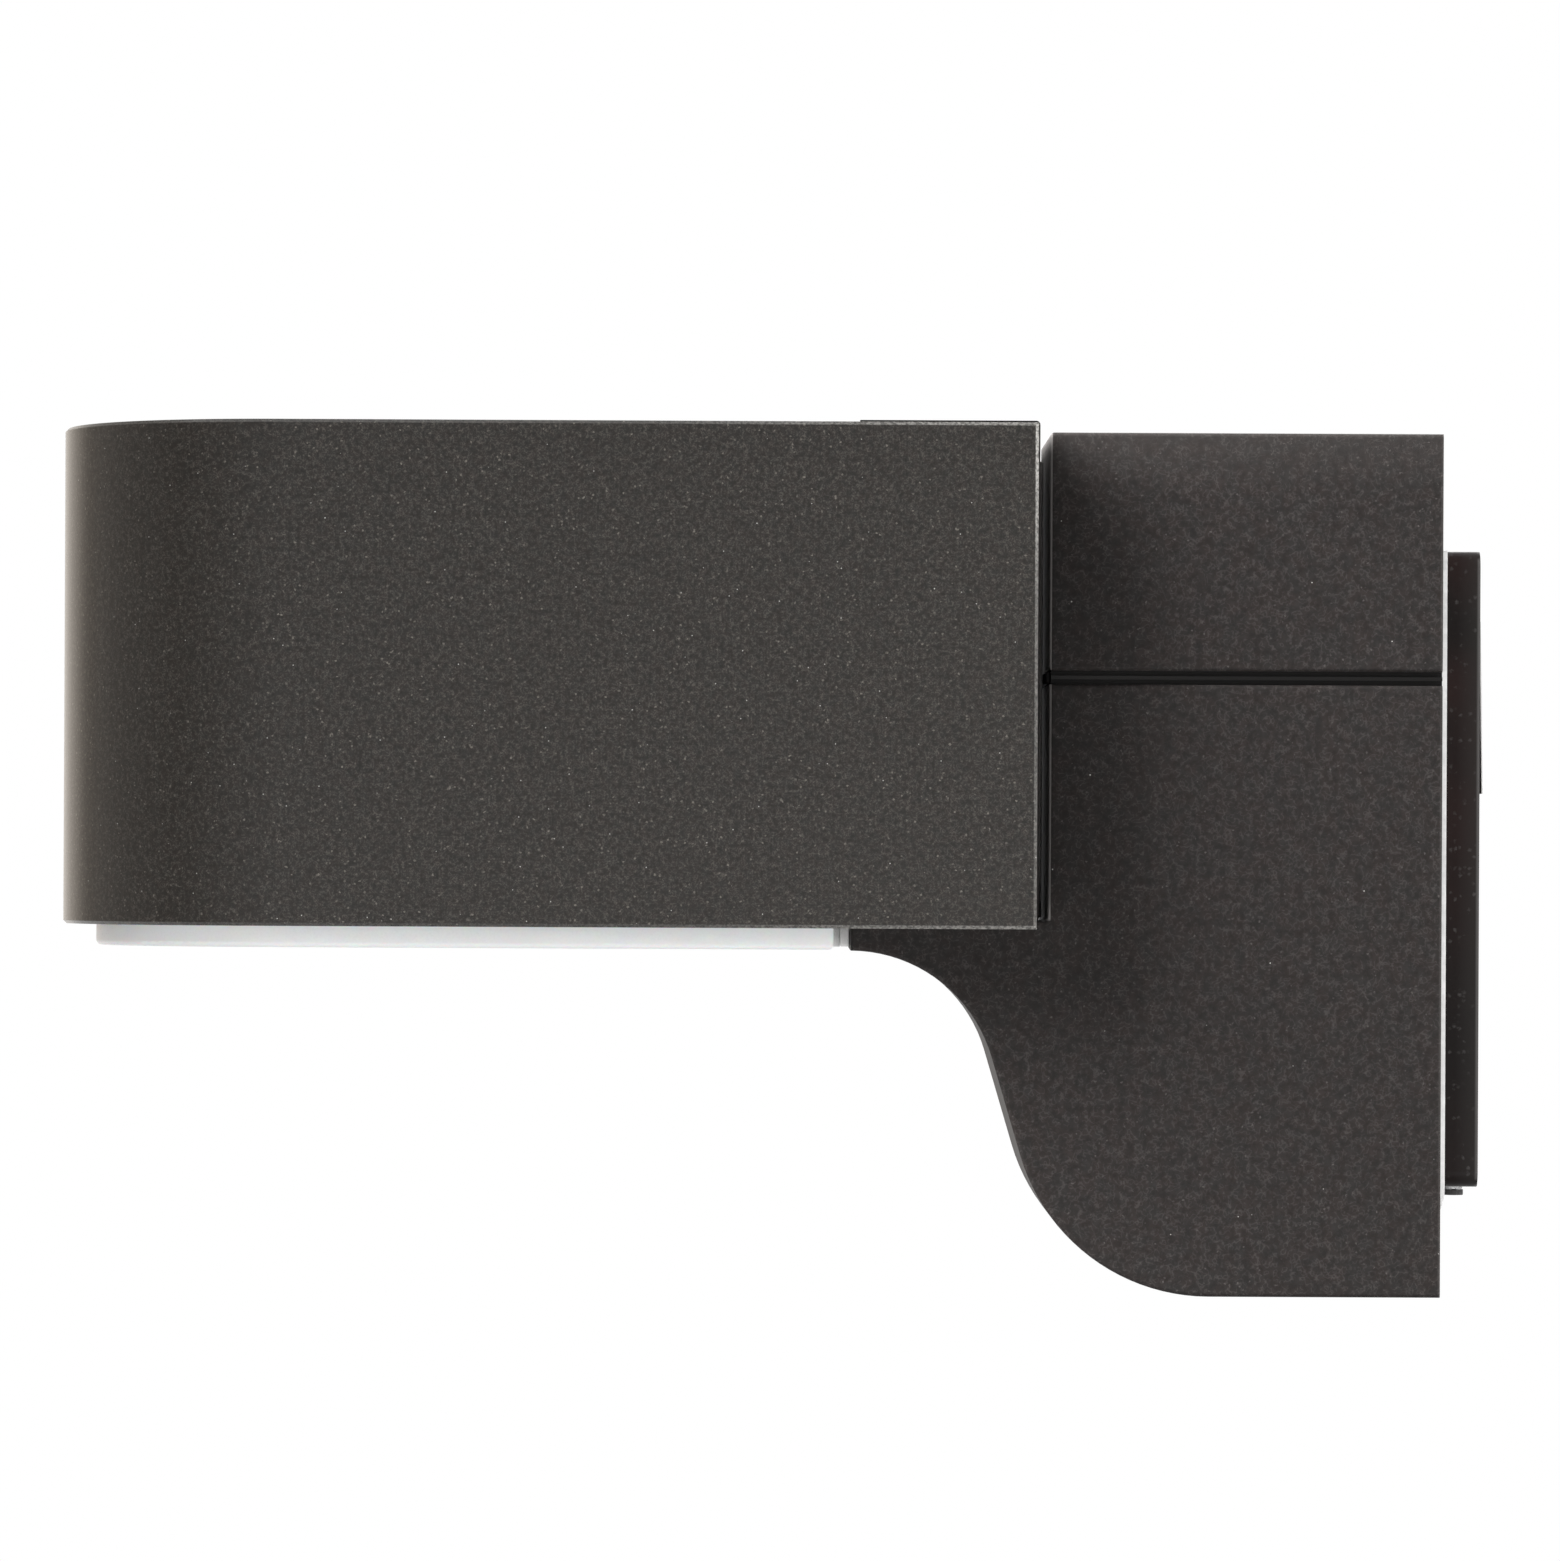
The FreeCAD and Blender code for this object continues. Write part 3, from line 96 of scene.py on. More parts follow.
def make_surface_grain():
    """Fine unevenness of a moulded, drawn or painted surface, in tone, gloss and height."""
    group, given, result = new_group(
        "surface_grain",
        [("Colour", "Color", (0.5, 0.5, 0.5, 1)), ("Tone", "Float", 0.2), ("Gloss", "Float", 0.4),
         ("Gloss Spread", "Float", 0.1), ("Grain", "Float", 1500.0), ("Stretch", "Vector", (1, 1, 1))],
        [("Colour", "Color"), ("Roughness", "Float"), ("Height", "Float")])
    place = add_node(group, "TexCoord").outputs["Object"]
    pulled = add_node(group, "VectorMath", {"operation": "MULTIPLY"})
    group.links.new(place, pulled.inputs[0])
    group.links.new(given.outputs["Stretch"], pulled.inputs[1])
    fine = add_node(group, "TexNoise", Vector=pulled.outputs[0], Scale=given.outputs["Grain"],
                    Detail=3.0).outputs[0]
    broad = add_node(group, "TexNoise", Vector=place, Scale=60.0, Detail=2.0).outputs[0]
    dim = remap(group, reckon(group, "MULTIPLY", fine, broad), 0.1, 0.4, given.outputs["Tone"], 0.0)
    tinted = mix_colours(group, dim, given.outputs["Colour"], (0, 0, 0, 1))
    low, high = (reckon(group, operation, given.outputs["Gloss"], given.outputs["Gloss Spread"])
                 for operation in ("SUBTRACT", "ADD"))
    gloss = remap(group, fine, 0.25, 0.75, low, high)
    for title, socket in (("Colour", tinted), ("Roughness", gloss), ("Height", fine)):
        group.links.new(socket, result.inputs[title])
    return group


surface_grain = make_surface_grain()


def new_finish(name, **plain):
    """A material, its node tree and its shader, with plain values on the shader's sockets."""
    finish = bpy.data.materials.new(name)
    finish.use_nodes = True
    shader = finish.node_tree.nodes["Principled BSDF"]
    for title, value in plain.items():
        shader.inputs[title.replace("_", " ")].default_value = value
    return finish, finish.node_tree, shader


def lay_on(tree, shader, group, depth, values):
    """Puts a group's colour, gloss and height on a shader, the height as bump of a depth in metres."""
    node = tree.nodes.new("ShaderNodeGroup")
    node.node_tree = group
    for title, value in values.items():
        node.inputs[title].default_value = value
    bump = add_node(tree, "Bump", Height=node.outputs["Height"], Distance=depth, Strength=1.0)
    for title, socket in (("Base Color", node.outputs["Colour"]), ("Roughness", node.outputs["Roughness"]),
                          ("Normal", bump.outputs[0])):
        tree.links.new(socket, shader.inputs[title])
    return node


def grained(name, colour, gloss, grain=1500.0, depth=0.00002, tone=0.2, spread=0.08,
            stretch=(1, 1, 1), **plain):
    """A finish that is one colour with fine grain."""
    finish, tree, shader = new_finish(name, **plain)
    lay_on(tree, shader, surface_grain, depth,
           {"Colour": (*colour, 1), "Tone": tone, "Gloss": gloss, "Gloss Spread": spread, "Grain": grain,
            "Stretch": stretch})
    return finish


def dress(finish, *names):
    """Gives solids of the frame a finish."""
    for name in names:
        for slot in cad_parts[name].material_slots:
            slot.material = finish


plate_low, plate_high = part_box("wall_plate")
rust_start, rust_full = -0.02, 0.03
dust_start, dust_full = 0.002, 0.0005
rub_start, rub_full, rub_depth = 0.0006, 0.0003, 0.0007

plate_coat = grained("black_moulding", (0.0078, 0.0066, 0.0062), 0.42, grain=2200.0, tone=0.35,
                     Specular_IOR_Level=0.06)
plate_tree = plate_coat.node_tree
plate_shader = plate_tree.nodes["Principled BSDF"]
plate_place = add_node(plate_tree, "TexCoord").outputs["Object"]
plate_axes = add_node(plate_tree, "SeparateXYZ", Vector=plate_place)
plate_colour = plate_shader.inputs["Base Color"].links[0].from_socket
patches = add_node(plate_tree, "TexNoise", Vector=plate_place, Scale=28.0, Detail=2.0).outputs[0]
rusty = reckon(plate_tree, "MULTIPLY", remap(plate_tree, patches, 0.3, 0.55, 0.0, 1.0),
               remap(plate_tree, plate_axes.outputs["Z"], rust_start, rust_full, 0.2, 1.0))
plate_colour = mix_colours(plate_tree, rusty, plate_colour, (0.016, 0.0085, 0.0077, 1))
dusty = remap(plate_tree, plate_axes.outputs["X"], plate_low.x + dust_start, plate_high.x - dust_full,
              0.0, 0.5)
plate_colour = mix_colours(plate_tree, dusty, plate_colour, (0.027, 0.0254, 0.0241, 1))
outline = reckon(plate_tree, "MAXIMUM",
                 *(remap(plate_tree, reckon(plate_tree, "ABSOLUTE", plate_axes.outputs[axis]),
                         reach - rub_start, reach - rub_full, 0.0, 1.0)
                   for axis, reach in (("Y", plate_high.y), ("Z", plate_high.z))))
rubbed = reckon(plate_tree, "MULTIPLY", outline,
                remap(plate_tree, plate_axes.outputs["X"], plate_high.x - rub_depth,
                      plate_high.x - rub_full, 0.0, 1.0))
plate_colour = mix_colours(plate_tree, rubbed, plate_colour, (0.08, 0.076, 0.074, 1))
specks = add_node(plate_tree, "TexVoronoi", Vector=plate_place, Scale=1100.0)
speck_chance = add_node(plate_tree, "SeparateColor", Color=specks.outputs["Color"]).outputs[0]
ragged = add_node(plate_tree, "TexNoise", Vector=plate_place, Scale=2600.0, Detail=2.0).outputs[0]
speck_size = reckon(plate_tree, "ADD", specks.outputs["Distance"],
                    reckon(plate_tree, "SUBTRACT", ragged, 0.5))
speck = reckon(plate_tree, "MULTIPLY", remap(plate_tree, speck_chance, 0.78, 1.0, 0.0, 1.0),
               remap(plate_tree, speck_size, 0.05, 0.55, 0.6, 0.0))
plate_colour = mix_colours(plate_tree, speck, plate_colour, (0.07, 0.066, 0.064, 1))
plate_tree.links.new(plate_colour, plate_shader.inputs["Base Color"])
dress(plate_coat, "wall_plate")


# Rubber pieces: the grommet in the plate's cable hole, the bush in the arm's wire hole
# and the gasket in the groove between the two castings. Matt black moulded rubber,
# each pressed into its place.

black_rubber = grained("black_rubber", (0.008, 0.0075, 0.0072), 0.75, grain=3000.0, tone=0.3,
                       Specular_IOR_Level=0.15)
dress(black_rubber, "cable_grommet", "wire_bush", "joint_gasket")


# Gasket lip: the gasket's soft front end, of the same black rubber, squeezed out of the
# groove into a rounded lip when the cover is screwed down on the arm.

gasket_low, gasket_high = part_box("joint_gasket")
lip_length = 0.0009
lip_half = 0.0235
lip_inset = 0.0002
lip_radius = 0.00035


def set_in_scene(name, shape):
    """The object of a finished bmesh, linked to the scene."""
    piece = bpy.data.objects.new(name, bpy.data.meshes.new(name))
    shape.to_mesh(piece.data)
    shape.free()
    bpy.context.scene.collection.objects.link(piece)
    return piece


def soft_pad(name, low, high, radius):
    """A soft pad between two corners, with rounded edges all round."""
    pad_mesh = bmesh.new()
    bmesh.ops.create_cube(pad_mesh, size=1.0)
    bmesh.ops.scale(pad_mesh, verts=pad_mesh.verts, vec=[top - base for base, top in zip(low, high)])
    bmesh.ops.translate(pad_mesh, verts=pad_mesh.verts,
                        vec=[(base + top) / 2 for base, top in zip(low, high)])
    bmesh.ops.bevel(pad_mesh, geom=pad_mesh.edges[:], offset=radius, offset_type="OFFSET", affect="EDGES",
                    segments=4, profile=0.5, material=-1, clamp_overlap=True)
    bmesh.ops.recalc_face_normals(pad_mesh, faces=pad_mesh.faces)
    return set_in_scene(name, pad_mesh)


lip = soft_pad("gasket_lip", (gasket_low.x - lip_length, -lip_half, gasket_low.z + lip_inset),
               (gasket_low.x, lip_half, gasket_high.z - lip_inset), lip_radius)
lip.data.materials.append(black_rubber)
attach(lip, "fixture")


# Seal strips: two pale silicone strips stuck to the back of the wall plate, either side of
# the cable entry. Their lower ends stand a little off the plate, as they do before the
# wall presses them flat.

strip_low, strip_high = 0.0145, 0.0475
strip_inner, strip_outer = 0.0095, 0.0205
strip_thickness = 0.0002
strip_lift = 0.0005

strip_mesh = bmesh.new()
bmesh.ops.create_grid(strip_mesh, x_segments=4, y_segments=24, size=0.5)
bmesh.ops.scale(strip_mesh, verts=strip_mesh.verts,
                vec=(strip_outer - strip_inner, strip_high - strip_low, 1))
for axis in ("X", "Z"):
    bmesh.ops.rotate(strip_mesh, verts=strip_mesh.verts, cent=(0, 0, 0),
                     matrix=Matrix.Rotation(math.radians(90), 3, axis))
bmesh.ops.translate(strip_mesh, verts=strip_mesh.verts,
                    vec=(0, (strip_inner + strip_outer) / 2, (strip_low + strip_high) / 2))
for corner in strip_mesh.verts:
    share = (strip_high - corner.co.z) / (strip_high - strip_low)
    corner.co.x = strip_thickness + strip_lift * share
bmesh.ops.recalc_face_normals(strip_mesh, faces=strip_mesh.faces)
bmesh.ops.solidify(strip_mesh, geom=strip_mesh.faces[:], thickness=strip_thickness)
bmesh.ops.mirror(strip_mesh, geom=strip_mesh.verts[:] + strip_mesh.edges[:] + strip_mesh.faces[:],
                 axis="Y", merge_dist=0)
bmesh.ops.recalc_face_normals(strip_mesh, faces=strip_mesh.faces)
strips = set_in_scene("seal_strips", strip_mesh)
strips.data.materials.append(grained("pale_seal", (0.46, 0.45, 0.44), 0.7, grain=2500.0))
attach(strips, "fixture")


# Back plate: zinc-plated steel sheet behind the bracket, rolled, with a faint streak.
# Its tabs hook into the wall plate, and screws hold it to both castings.

dress(grained("zinc_sheet", (0.72, 0.715, 0.71), 0.36, grain=900.0, stretch=(1, 6, 1), tone=0.2,
              depth=0.000006, Metallic=0.2), "back_plate")


# Screws and nuts: zinc-plated steel, turned, with a duller and slightly uneven plating.
# They hold the castings, the lamp block, the shade and the lid together.

dress(grained("zinc_screws", (0.5, 0.5, 0.5), 0.4, grain=4000.0, tone=0.3, depth=0.000004,
              Metallic=0.95),
      "back_plate_screws", "cover_screws", "arm_screws", "block_screws", "shade_nuts")


# Locking screws: two headless steel screws, driven from below, that draw the light to the wall.
# Their zinc plating is painted brighter than on the others and not metallic, a painted highlight for the
# light that falls on them.

dress(grained("zinc_locks", (0.9, 0.9, 0.9), 0.35, grain=4000.0, tone=0.1, depth=0.000004),
      "locking_screws")


# Screw caps: small cups moulded in soft dark rubber, pushed over the lower ends of the two
# locking screws. They keep water out of the slots.

lock_low, lock_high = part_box("locking_screws")
lock_radius = (lock_high.x - lock_low.x) / 2
cap_play, cap_bulge, cap_seat = 0.00004, 0.0002, 0.00002
cap_inner, cap_outer = lock_radius + cap_play, lock_radius + cap_bulge
cap_floor, cap_rim, cap_chamfer = 0.00018, 0.00088, 0.00012
cap_profile = ((0, -cap_floor), (cap_outer - cap_chamfer, -cap_floor), (cap_outer, cap_chamfer - cap_floor),
               (cap_outer, cap_rim), (cap_inner, cap_rim), (cap_inner, -cap_seat), (0, -cap_seat))
caps_mesh = bmesh.new()
for side in (lock_low.y + lock_radius, lock_high.y - lock_radius):
    centre = Vector(((lock_low.x + lock_high.x) / 2, side, lock_low.z))
    rim_line = [caps_mesh.verts.new(centre + Vector((out, 0, up))) for out, up in cap_profile]
    cap_edges = [caps_mesh.edges.new(pair) for pair in zip(rim_line, rim_line[1:])]
    bmesh.ops.spin(caps_mesh, geom=rim_line + cap_edges, cent=centre, axis=(0, 0, 1),
                   angle=math.radians(360), steps=32, use_merge=True)
bmesh.ops.remove_doubles(caps_mesh, verts=caps_mesh.verts, dist=0.000005)
bmesh.ops.recalc_face_normals(caps_mesh, faces=caps_mesh.faces)
caps = set_in_scene("screw_caps", caps_mesh)
caps.data.materials.append(grained("grey_cap", (0.085, 0.083, 0.081), 0.6, grain=3000.0,
                                   Specular_IOR_Level=0.15))
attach(caps, "fixture")


# Castings: the arm with the lower half of the box, the upper cover and the lamp block, die-cast
# in aluminium and screwed together from inside and behind. Their dark, faintly warm powder coat
# has a coarse, soft texture. The box's front face and front edges, a line along the back edge and
# the upper part of the side faces are painted lighter: painted highlights where light falls on them.

def make_flecked_coat():
    """Powder coat: a mottled colour with soft raised worms and scattered metal flecks."""
    group, given, result = new_group(
        "flecked_coat",
        [("Coat", "Color", (0.05, 0.05, 0.05, 1)), ("Fleck", "Color", (0.4, 0.38, 0.35, 1)),
         ("Mottle Scale", "Float", 600.0), ("Mottle", "Float", 0.4), ("Worm Scale", "Float", 1200.0),
         ("Worm", "Float", 0.3), ("Fleck Scale", "Float", 2600.0), ("Fleck Share", "Float", 0.1),
         ("Glint Limit", "Float", 1.0), ("Gloss", "Float", 0.5)],
        [("Colour", "Color"), ("Roughness", "Float"), ("Height", "Float")])
    place = add_node(group, "TexCoord").outputs["Object"]
    mottle = add_node(group, "TexNoise", Vector=place, Scale=given.outputs["Mottle Scale"], Detail=3.0,
                      Roughness=0.6).outputs[0]
    dim = remap(group, mottle, 0.32, 0.66, given.outputs["Mottle"], 0.0)
    coat = mix_colours(group, dim, given.outputs["Coat"], (0, 0, 0, 1))
    drift = add_node(group, "TexNoise", Vector=place, Detail=2.0,
                     Scale=reckon(group, "MULTIPLY", given.outputs["Mottle Scale"], 0.6)).outputs[0]
    hue = mix_colours(group, remap(group, drift, 0.36, 0.64, 0.0, 1.0), (1.04, 0.985, 0.975, 1),
                      (0.97, 1.005, 1.015, 1))
    coat = mix_colours(group, 1.0, coat, hue, blend="MULTIPLY")
    swirl = add_node(group, "TexNoise", Vector=place, Scale=given.outputs["Worm Scale"],
                     Detail=1.0).outputs[0]
    off_line = reckon(group, "ABSOLUTE", reckon(group, "SUBTRACT", swirl, 0.53))
    worm = reckon(group, "MULTIPLY", remap(group, off_line, 0.0, 0.07, 1.0, 0.0),
                  remap(group, mottle, 0.4, 0.6, 0.1, 1.0))
    coat = mix_colours(group, reckon(group, "MULTIPLY", worm, given.outputs["Worm"]), coat,
                       given.outputs["Fleck"])
    cells = add_node(group, "TexVoronoi", Vector=place, Scale=given.outputs["Fleck Scale"])
    chance = add_node(group, "SeparateColor", Color=cells.outputs["Color"])
    picked = reckon(group, "GREATER_THAN", chance.outputs[0],
                    reckon(group, "SUBTRACT", 1.0, given.outputs["Fleck Share"]))
    bright = reckon(group, "POWER", chance.outputs[1], 2.5)
    coat = mix_colours(group, reckon(group, "MULTIPLY", picked, bright), coat, given.outputs["Fleck"])
    # Painted glints: a few flecks are painted near white, as if light glinted on them.
    shining = reckon(group, "GREATER_THAN", chance.outputs[2], given.outputs["Glint Limit"])
    glint = reckon(group, "MULTIPLY", shining, remap(group, cells.outputs["Distance"], 0.25, 0.4, 0.8, 0.0))
    coat = mix_colours(group, glint, coat, (0.7, 0.69, 0.66, 1))
    gloss = reckon(group, "MULTIPLY_ADD", mottle, 0.16, given.outputs["Gloss"])
    height = reckon(group, "MULTIPLY_ADD", worm, 0.5, mottle)
    for title, socket in (("Colour", coat), ("Roughness", gloss), ("Height", height)):
        group.links.new(socket, result.inputs[title])
    return group


flecked_coat = make_flecked_coat()


def flecked(name, coat, fleck, mottle, worm, flecks, gloss, depth, **plain):
    """A powder-coat finish; also returns its tree, shader and coat node for further work.
    Mottle, worm and flecks are given as scale and strength, flecks also with the limit
    above which one is a bright glint."""
    finish, tree, shader = new_finish(name, **plain)
    node = lay_on(tree, shader, flecked_coat, depth,
                  {"Coat": (*coat, 1), "Fleck": (*fleck, 1), "Mottle Scale": mottle[0], "Mottle": mottle[1],
                   "Worm Scale": worm[0], "Worm": worm[1], "Fleck Scale": flecks[0],
                   "Fleck Share": flecks[1], "Glint Limit": flecks[2], "Gloss": gloss})
    return finish, tree, shader, node


edge_highlight_width = 0.0005
top_light_depth = 0.012
bracket_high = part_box("arm_casting")[1]
cover_low, cover_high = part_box("upper_cover")
block_low, block_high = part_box("lamp_block")

cast_coat, cast_tree, cast_shader, cast_node = flecked(
    "cast_coat", (0.0338, 0.0303, 0.0291), (0.088, 0.079, 0.0765), mottle=(620.0, 0.34),
    worm=(1050.0, 0.5), flecks=(2600.0, 0.02, 0.9997), gloss=0.62, depth=0.00004,
    Specular_IOR_Level=0.04, Coat_Weight=0.3, Coat_IOR=1.15, Coat_Roughness=0.3)
cast_axes = add_node(cast_tree, "SeparateXYZ", Vector=add_node(cast_tree, "TexCoord").outputs["Object"])
# Painted highlights: a light line along the back edge of the side faces, the side faces lighter towards
# their top, and the box's front face with its front edges lighter, where light falls on them.
painted_back_highlight = remap(cast_tree, cast_axes.outputs["X"], bracket_high.x - edge_highlight_width,
                  bracket_high.x - 0.5 * edge_highlight_width, 0.0, 0.22)
side_face = remap(cast_tree, reckon(cast_tree, "ABSOLUTE", cast_axes.outputs["Y"]),
                  bracket_high.y - 2 * edge_highlight_width, bracket_high.y - edge_highlight_width, 0.0, 1.0)
off_front = reckon(cast_tree, "ABSOLUTE",
                   reckon(cast_tree, "SUBTRACT", cast_axes.outputs["X"], cover_low.x))
above_arm = remap(cast_tree, cast_axes.outputs["Z"], block_low.z, block_low.z + edge_highlight_width, 0.0, 1.0)
painted_front_light = reckon(cast_tree, "MULTIPLY",
                    remap(cast_tree, off_front, 0.6 * edge_highlight_width, edge_highlight_width, 0.8, 0.0), above_arm)
painted_top_light = remap(cast_tree, cast_axes.outputs["Z"], cover_high.z - top_light_depth, cover_high.z, 0.0, 0.13)
painted_back_and_top_light = reckon(cast_tree, "MULTIPLY", reckon(cast_tree, "MAXIMUM", painted_back_highlight, painted_top_light), side_face)
cast_colour = mix_colours(cast_tree, painted_back_and_top_light, cast_node.outputs["Colour"], (0.16, 0.147, 0.141, 1))
cast_colour = mix_colours(cast_tree, painted_front_light, cast_colour, (0.36, 0.34, 0.33, 1))
cast_tree.links.new(cast_colour, cast_shader.inputs["Base Color"])
dress(cast_coat, "arm_casting", "upper_cover", "lamp_block")


# Gap seal: a soft strip of grey foamed rubber stuck upright to the back of the lamp block.
# It closes the middle of the gap to the bracket's box to insects, and stops below its top.

seal_depth = 0.0017
seal_half = 0.008
seal_foot, seal_head = 0.0005, 0.006
seal_radius = 0.0004
seal = soft_pad("gap_seal", (block_high.x, -seal_half, block_low.z + seal_foot),
                (block_high.x + seal_depth, seal_half, block_high.z - seal_head), seal_radius)
seal.data.materials.append(grained("grey_foam", (0.4, 0.38, 0.37), 0.8, grain=2000.0, tone=0.3,
                                   Specular_IOR_Level=0.1))
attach(seal, "fixture")


# Shade: an aluminium strip bent to a U with a half-round nose, and the lid set into it.
# Metallic anthracite powder coat, finer than on the castings, thin along the ground edges; these edges
# are also painted lighter towards the back end and the top as a painted highlight.
# Studs inside the strip are bolted to the lamp block.

coat_edge = 0.0007
rim_light_front, rim_light_back = -0.16, -0.10
band_low, band_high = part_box("shade_band")

shade_coat, shade_tree, shade_shader, shade_node = flecked(
    "shade_coat", (0.0318, 0.0291, 0.0266), (0.16, 0.146, 0.128), mottle=(1100.0, 0.45),
    worm=(1700.0, 0.4), flecks=(3200.0, 0.03, 0.9985), gloss=0.45, depth=0.00003,
    Specular_IOR_Level=0.06, Coat_Weight=1.0, Coat_IOR=1.25, Coat_Roughness=0.26)
shade_place = add_node(shade_tree, "TexCoord").outputs["Object"]
shade_axes = add_node(shade_tree, "SeparateXYZ", Vector=shade_place)
ragged_edge = add_node(shade_tree, "TexNoise", Vector=shade_place, Scale=1800.0, Detail=2.0).outputs[0]


def near(axis, limit):
    """1 within the thin-coat and painted-highlight width of an edge across an axis, 0 further in."""
    away = reckon(shade_tree, "ABSOLUTE", reckon(shade_tree, "SUBTRACT", shade_axes.outputs[axis], limit))
    return remap(shade_tree, away, 0.75 * coat_edge, 1.05 * coat_edge, 1.0, 0.0)


# Painted highlight: the ground edges are thin-coated, and painted lighter still towards the back end and up
# the back edge, where light falls on them.
rims = reckon(shade_tree, "MAXIMUM", near("Z", band_high.z), near("Z", band_low.z))
rim_highlight_ramp = remap(shade_tree, shade_axes.outputs["X"], rim_light_front, rim_light_back, 0.1, 0.7)
end_highlight_ramp = remap(shade_tree, shade_axes.outputs["Z"], 0.6 * band_high.z, 0.9 * band_high.z, 0.22, 0.9)
bare_and_highlit_edges = reckon(shade_tree, "MAXIMUM", reckon(shade_tree, "MULTIPLY", near("X", band_high.x), end_highlight_ramp),
              reckon(shade_tree, "MULTIPLY", rims, rim_highlight_ramp))
ragged_bare_and_highlight = reckon(shade_tree, "MULTIPLY", bare_and_highlit_edges, remap(shade_tree, ragged_edge, 0.36, 0.64, 0.15, 0.8))
edge_colour = mix_colours(shade_tree, ragged_bare_and_highlight, shade_node.outputs["Colour"], (0.5, 0.485, 0.455, 1))
shade_tree.links.new(edge_colour, shade_shader.inputs["Base Color"])
dress(shade_coat, "shade_band")
lid_coat = flecked("lid_coat", (0.04, 0.037, 0.0335), (0.16, 0.146, 0.127), mottle=(1100.0, 0.6),
                   worm=(1700.0, 0.26), flecks=(3900.0, 0.15, 0.9985), gloss=0.62, depth=0.00003,
                   Specular_IOR_Level=0.06)[0]
dress(lid_coat, "top_lid")


# Holder plate, diffuser frame and clamping ring: the white pieces round the lamp.
# The plate is painted aluminium, frame and ring are moulded; all throw the light on.

dress(grained("white_paint", (0.78, 0.78, 0.76), 0.45, grain=1200.0, tone=0.08), "holder_plate")
dress(grained("white_moulding", (0.76, 0.76, 0.74), 0.4, grain=2000.0, tone=0.08),
      "diffuser_frame", "holder_ring")


# Diffuser: a moulded opal tray that is pulled down to change the lamp, with a silicone
# seal pressed round its lip and a grey tab behind it.

dress(grained("opal_tray", (0.95, 0.95, 0.95), 0.32, grain=2600.0, tone=0.05, depth=0.000005,
              Subsurface_Weight=0.3, Subsurface_Scale=0.003, Specular_IOR_Level=0.1), "diffuser_tray")
dress(grained("silicone", (0.62, 0.62, 0.60), 0.5, grain=2200.0, tone=0.12), "diffuser_seal")
dress(grained("grey_tab", (0.88, 0.88, 0.87), 0.45, grain=2400.0, tone=0.2), "diffuser_catch")


# Catch cushion: a soft pale rubber pad stuck to the back of the tab.
# It fills the space to the arm's tip, and slides down past the tip with the diffuser.

tab_low, tab_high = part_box("diffuser_catch")
tip_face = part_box("arm_casting")[0].x
cushion_gap = 0.00015
cushion_radius = 0.0004
cushion = soft_pad("catch_cushion", (tab_high.x, tab_low.y, tab_low.z),
                   (tip_face - cushion_gap, tab_high.y, tab_high.z), cushion_radius)
cushion.data.materials.append(grained("pale_rubber", (0.88, 0.87, 0.86), 0.6, grain=2000.0, tone=0.12))
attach(cushion, "diffuser")


# Lampholder: glazed porcelain clamped in the holder plate, with a nickel-plated screw
# shell and a brass contact.

dress(grained("porcelain", (0.78, 0.76, 0.70), 0.16, grain=400.0, tone=0.08, depth=0.00001,
              Coat_Weight=0.4), "holder_body")
dress(grained("nickel_shell", (0.60, 0.57, 0.50), 0.28, grain=1800.0, depth=0.000004, Metallic=1.0),
      "holder_shell")
brass = grained("brass", (0.62, 0.43, 0.16), 0.3, grain=2600.0, depth=0.000004, Metallic=1.0)
dress(brass, "holder_contact")


# Lamp: a screw-cap bulb with an opal globe on a white collar; nickel-plated cap with a
# black glass insulator and a solder contact. It turns in the holder's shell.

dress(grained("solder", (0.52, 0.52, 0.54), 0.35, grain=3000.0, Metallic=0.9), "lamp_contact")
dress(grained("black_glass", (0.008, 0.008, 0.010), 0.15, grain=900.0), "lamp_insulator")
dress(grained("cap_nickel", (0.62, 0.61, 0.58), 0.27, grain=2000.0, depth=0.000004, Metallic=1.0),
      "lamp_cap")
dress(grained("lamp_collar_white", (0.80, 0.80, 0.79), 0.38, grain=1800.0, tone=0.08), "lamp_collar")
dress(grained("opal_globe", (0.84, 0.84, 0.82), 0.3, grain=2600.0, tone=0.05, depth=0.000005,
              Subsurface_Weight=0.3, Subsurface_Scale=0.004), "lamp_globe")


# Wiring: an ivory terminal block on the back plate with brass screws, and three wires with
# silicone insulation. The brown and the blue one run through the arm to the lampholder; the
# green one with a yellow stripe ends at a brass earth screw in the box's front wall.

dress(grained("ivory_moulding", (0.68, 0.65, 0.55), 0.45, grain=2000.0, tone=0.1), "terminal_block")
dress(brass, "terminal_screws", "earth_screw")
dress(grained("brown_wire", (0.09, 0.035, 0.014), 0.5, grain=2600.0), "live_wire")
dress(grained("blue_wire", (0.02, 0.07, 0.34), 0.5, grain=2600.0), "neutral_wire")
earth_coat = grained("earth_wire", (0.05, 0.22, 0.03), 0.5, grain=2600.0)
earth_tree = earth_coat.node_tree
across = add_node(earth_tree, "SeparateXYZ", Vector=add_node(earth_tree, "TexCoord").outputs["Object"])
stripe_edge = 0.0003
stripe = reckon(earth_tree, "GREATER_THAN", across.outputs["Y"], stripe_edge)
earth_shader = earth_tree.nodes["Principled BSDF"]
earth_plain = earth_shader.inputs["Base Color"].links[0].from_socket
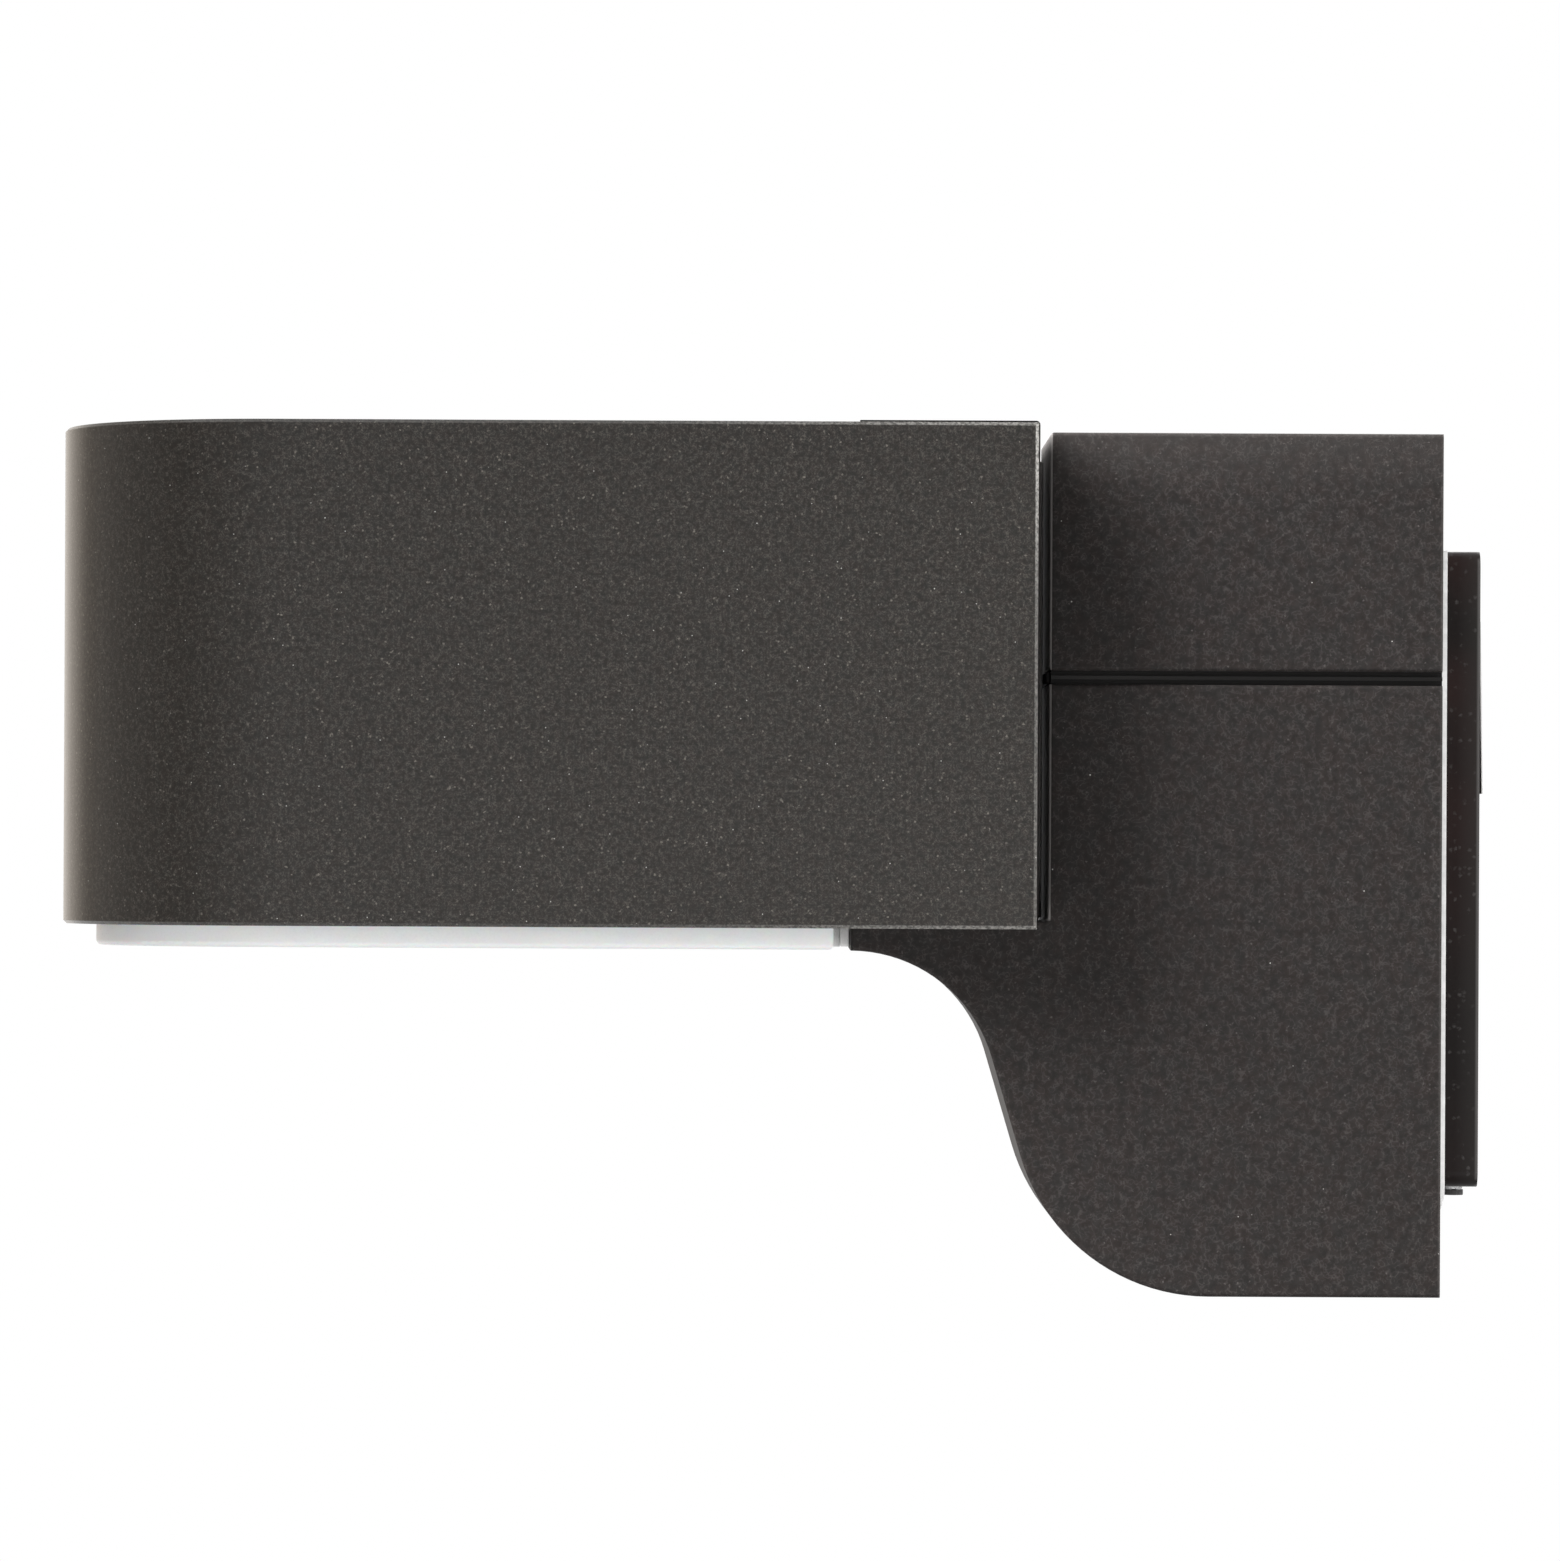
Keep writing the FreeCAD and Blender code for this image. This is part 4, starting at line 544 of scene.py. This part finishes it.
earth_tree.links.new(mix_colours(earth_tree, stripe, earth_plain, (0.62, 0.50, 0.03, 1)),
                     earth_shader.inputs["Base Color"])
dress(earth_coat, "earth_wire")


# Studio: a pale floor well below the light, white surroundings that are warmer on the left,
# soft boxes round the light, and the camera level with the bracket's middle. The side box is
# for the bracket alone, and a flag keeps the right box off the bracket and the lamp block.

floor_height = -1.0
floor_half = 6.0
floor_glow = 0.95
floor_mesh = bmesh.new()
bmesh.ops.create_grid(floor_mesh, x_segments=1, y_segments=1, size=floor_half)
bmesh.ops.translate(floor_mesh, verts=floor_mesh.verts, vec=(0, 0, floor_height))
floor = set_in_scene("floor", floor_mesh)


def seen_share(tree, ray, share):
    """A share for rays from the camera, in a reflection or through glass, and 0 for the rest."""
    seen = ray.outputs["Is Camera Ray"]
    for title in ("Is Glossy Ray", "Is Transmission Ray"):
        seen = reckon(tree, "MAXIMUM", seen, ray.outputs[title])
    return reckon(tree, "MULTIPLY", seen, share)


floor_paint, floor_tree, floor_shader = new_finish("floor_paint", Base_Color=(0.6, 0.6, 0.6, 1),
                                                   Roughness=0.9, Specular_IOR_Level=0.0)
floor_ray = add_node(floor_tree, "LightPath")
glow = add_node(floor_tree, "Emission", Strength=seen_share(floor_tree, floor_ray, floor_glow))
floor_front = add_node(floor_tree, "AddShader")
floor_back = add_node(floor_tree, "BsdfTransparent")
floor_look = add_node(floor_tree, "MixShader",
                      Fac=add_node(floor_tree, "NewGeometry").outputs["Backfacing"])
for source, socket in ((floor_shader, floor_front.inputs[0]), (glow, floor_front.inputs[1]),
                       (floor_front, floor_look.inputs[1]), (floor_back, floor_look.inputs[2]),
                       (floor_look, floor_tree.nodes["Material Output"].inputs["Surface"])):
    floor_tree.links.new(source.outputs[0], socket)
floor.data.materials.append(floor_paint)

world = bpy.data.worlds.new("studio")
bpy.context.scene.world = world
world.use_nodes = True
world_tree = world.node_tree
backdrop = world_tree.nodes["Background"]
ambient = 0.22
world_ray = add_node(world_tree, "LightPath")
world_level = reckon(world_tree, "MAXIMUM", seen_share(world_tree, world_ray, 1.0), ambient)
world_tree.links.new(world_level, backdrop.inputs["Strength"])
world_way = add_node(world_tree, "SeparateXYZ", Vector=add_node(world_tree, "TexCoord").outputs["Object"])
warm_side = remap(world_tree, world_way.outputs["X"], -0.05, -0.9, 0.0, 1.0)
warm_share = reckon(world_tree, "MULTIPLY", warm_side, world_ray.outputs["Is Glossy Ray"])
world_tree.links.new(mix_colours(world_tree, warm_share, (1, 1, 1, 1), (0.72, 0.61, 0.495, 1)),
                     backdrop.inputs["Color"])

middle = (-0.136, 0.0, 0.0)


def soft_box(name, place, width, height, power):
    """An area lamp aimed at the light's middle."""
    lamp = bpy.data.lights.new(name, "AREA")
    lamp.shape = "RECTANGLE"
    lamp.size, lamp.size_y = width, height
    lamp.energy = power
    holder = bpy.data.objects.new(name, lamp)
    holder.location = place
    aim = [goal - here for goal, here in zip(middle, place)]
    holder.rotation_euler = Vector(aim).to_track_quat("-Z", "Y").to_euler()
    bpy.context.scene.collection.objects.link(holder)
    return holder


right_box = soft_box("right_box", (0.6, -0.35, 0.4), 0.8, 0.8, 11.9)
soft_box("left_box", (-1.2, -0.05, 0.1), 0.9, 0.9, 1.0)
soft_box("low_box", (-0.2, -0.7, -0.3), 1.1, 0.35, 3.9)
soft_box("top_box", (-0.13, 0.25, 1.1), 1.2, 0.4, 4.0)
soft_box("rim_box", (-1.0, 1.2, 0.1), 1.0, 1.2, 2.2).data.color = (1.0, 0.88, 0.74)
soft_box("far_box", (0.25, 1.3, 0.75), 1.2, 1.2, 11.0)
side_box = soft_box("side_box", (-1.0, -0.34, 0.8), 0.9, 0.9, 62.0)
for lamp, state, names in ((side_box, "INCLUDE", ("arm_casting", "upper_cover")),
                           (right_box, "EXCLUDE", ("arm_casting", "upper_cover", "lamp_block"))):
    receivers = bpy.data.collections.new(lamp.name + "_receivers")
    for name in names:
        receivers.objects.link(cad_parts[name])
    for member in receivers.collection_objects:
        member.light_linking.link_state = state
    lamp.light_linking.receiver_collection = receivers

picture_width, lens_pixels, rise_pixels = 1560.0, 7468.0, 73.5
camera = bpy.data.cameras.new("camera")
camera.sensor_width = 36.0
camera.lens = lens_pixels / picture_width * camera.sensor_width
camera.shift_y = rise_pixels / picture_width
camera.clip_end = 50.0
viewer = bpy.data.objects.new("camera", camera)
viewer.location = (-0.1339, -1.453, 0.0023)
viewer.rotation_euler = (math.radians(90), math.radians(-0.27), 0)
bpy.context.scene.collection.objects.link(viewer)
bpy.context.scene.camera = viewer
bpy.context.scene.view_settings.view_transform = "Standard"
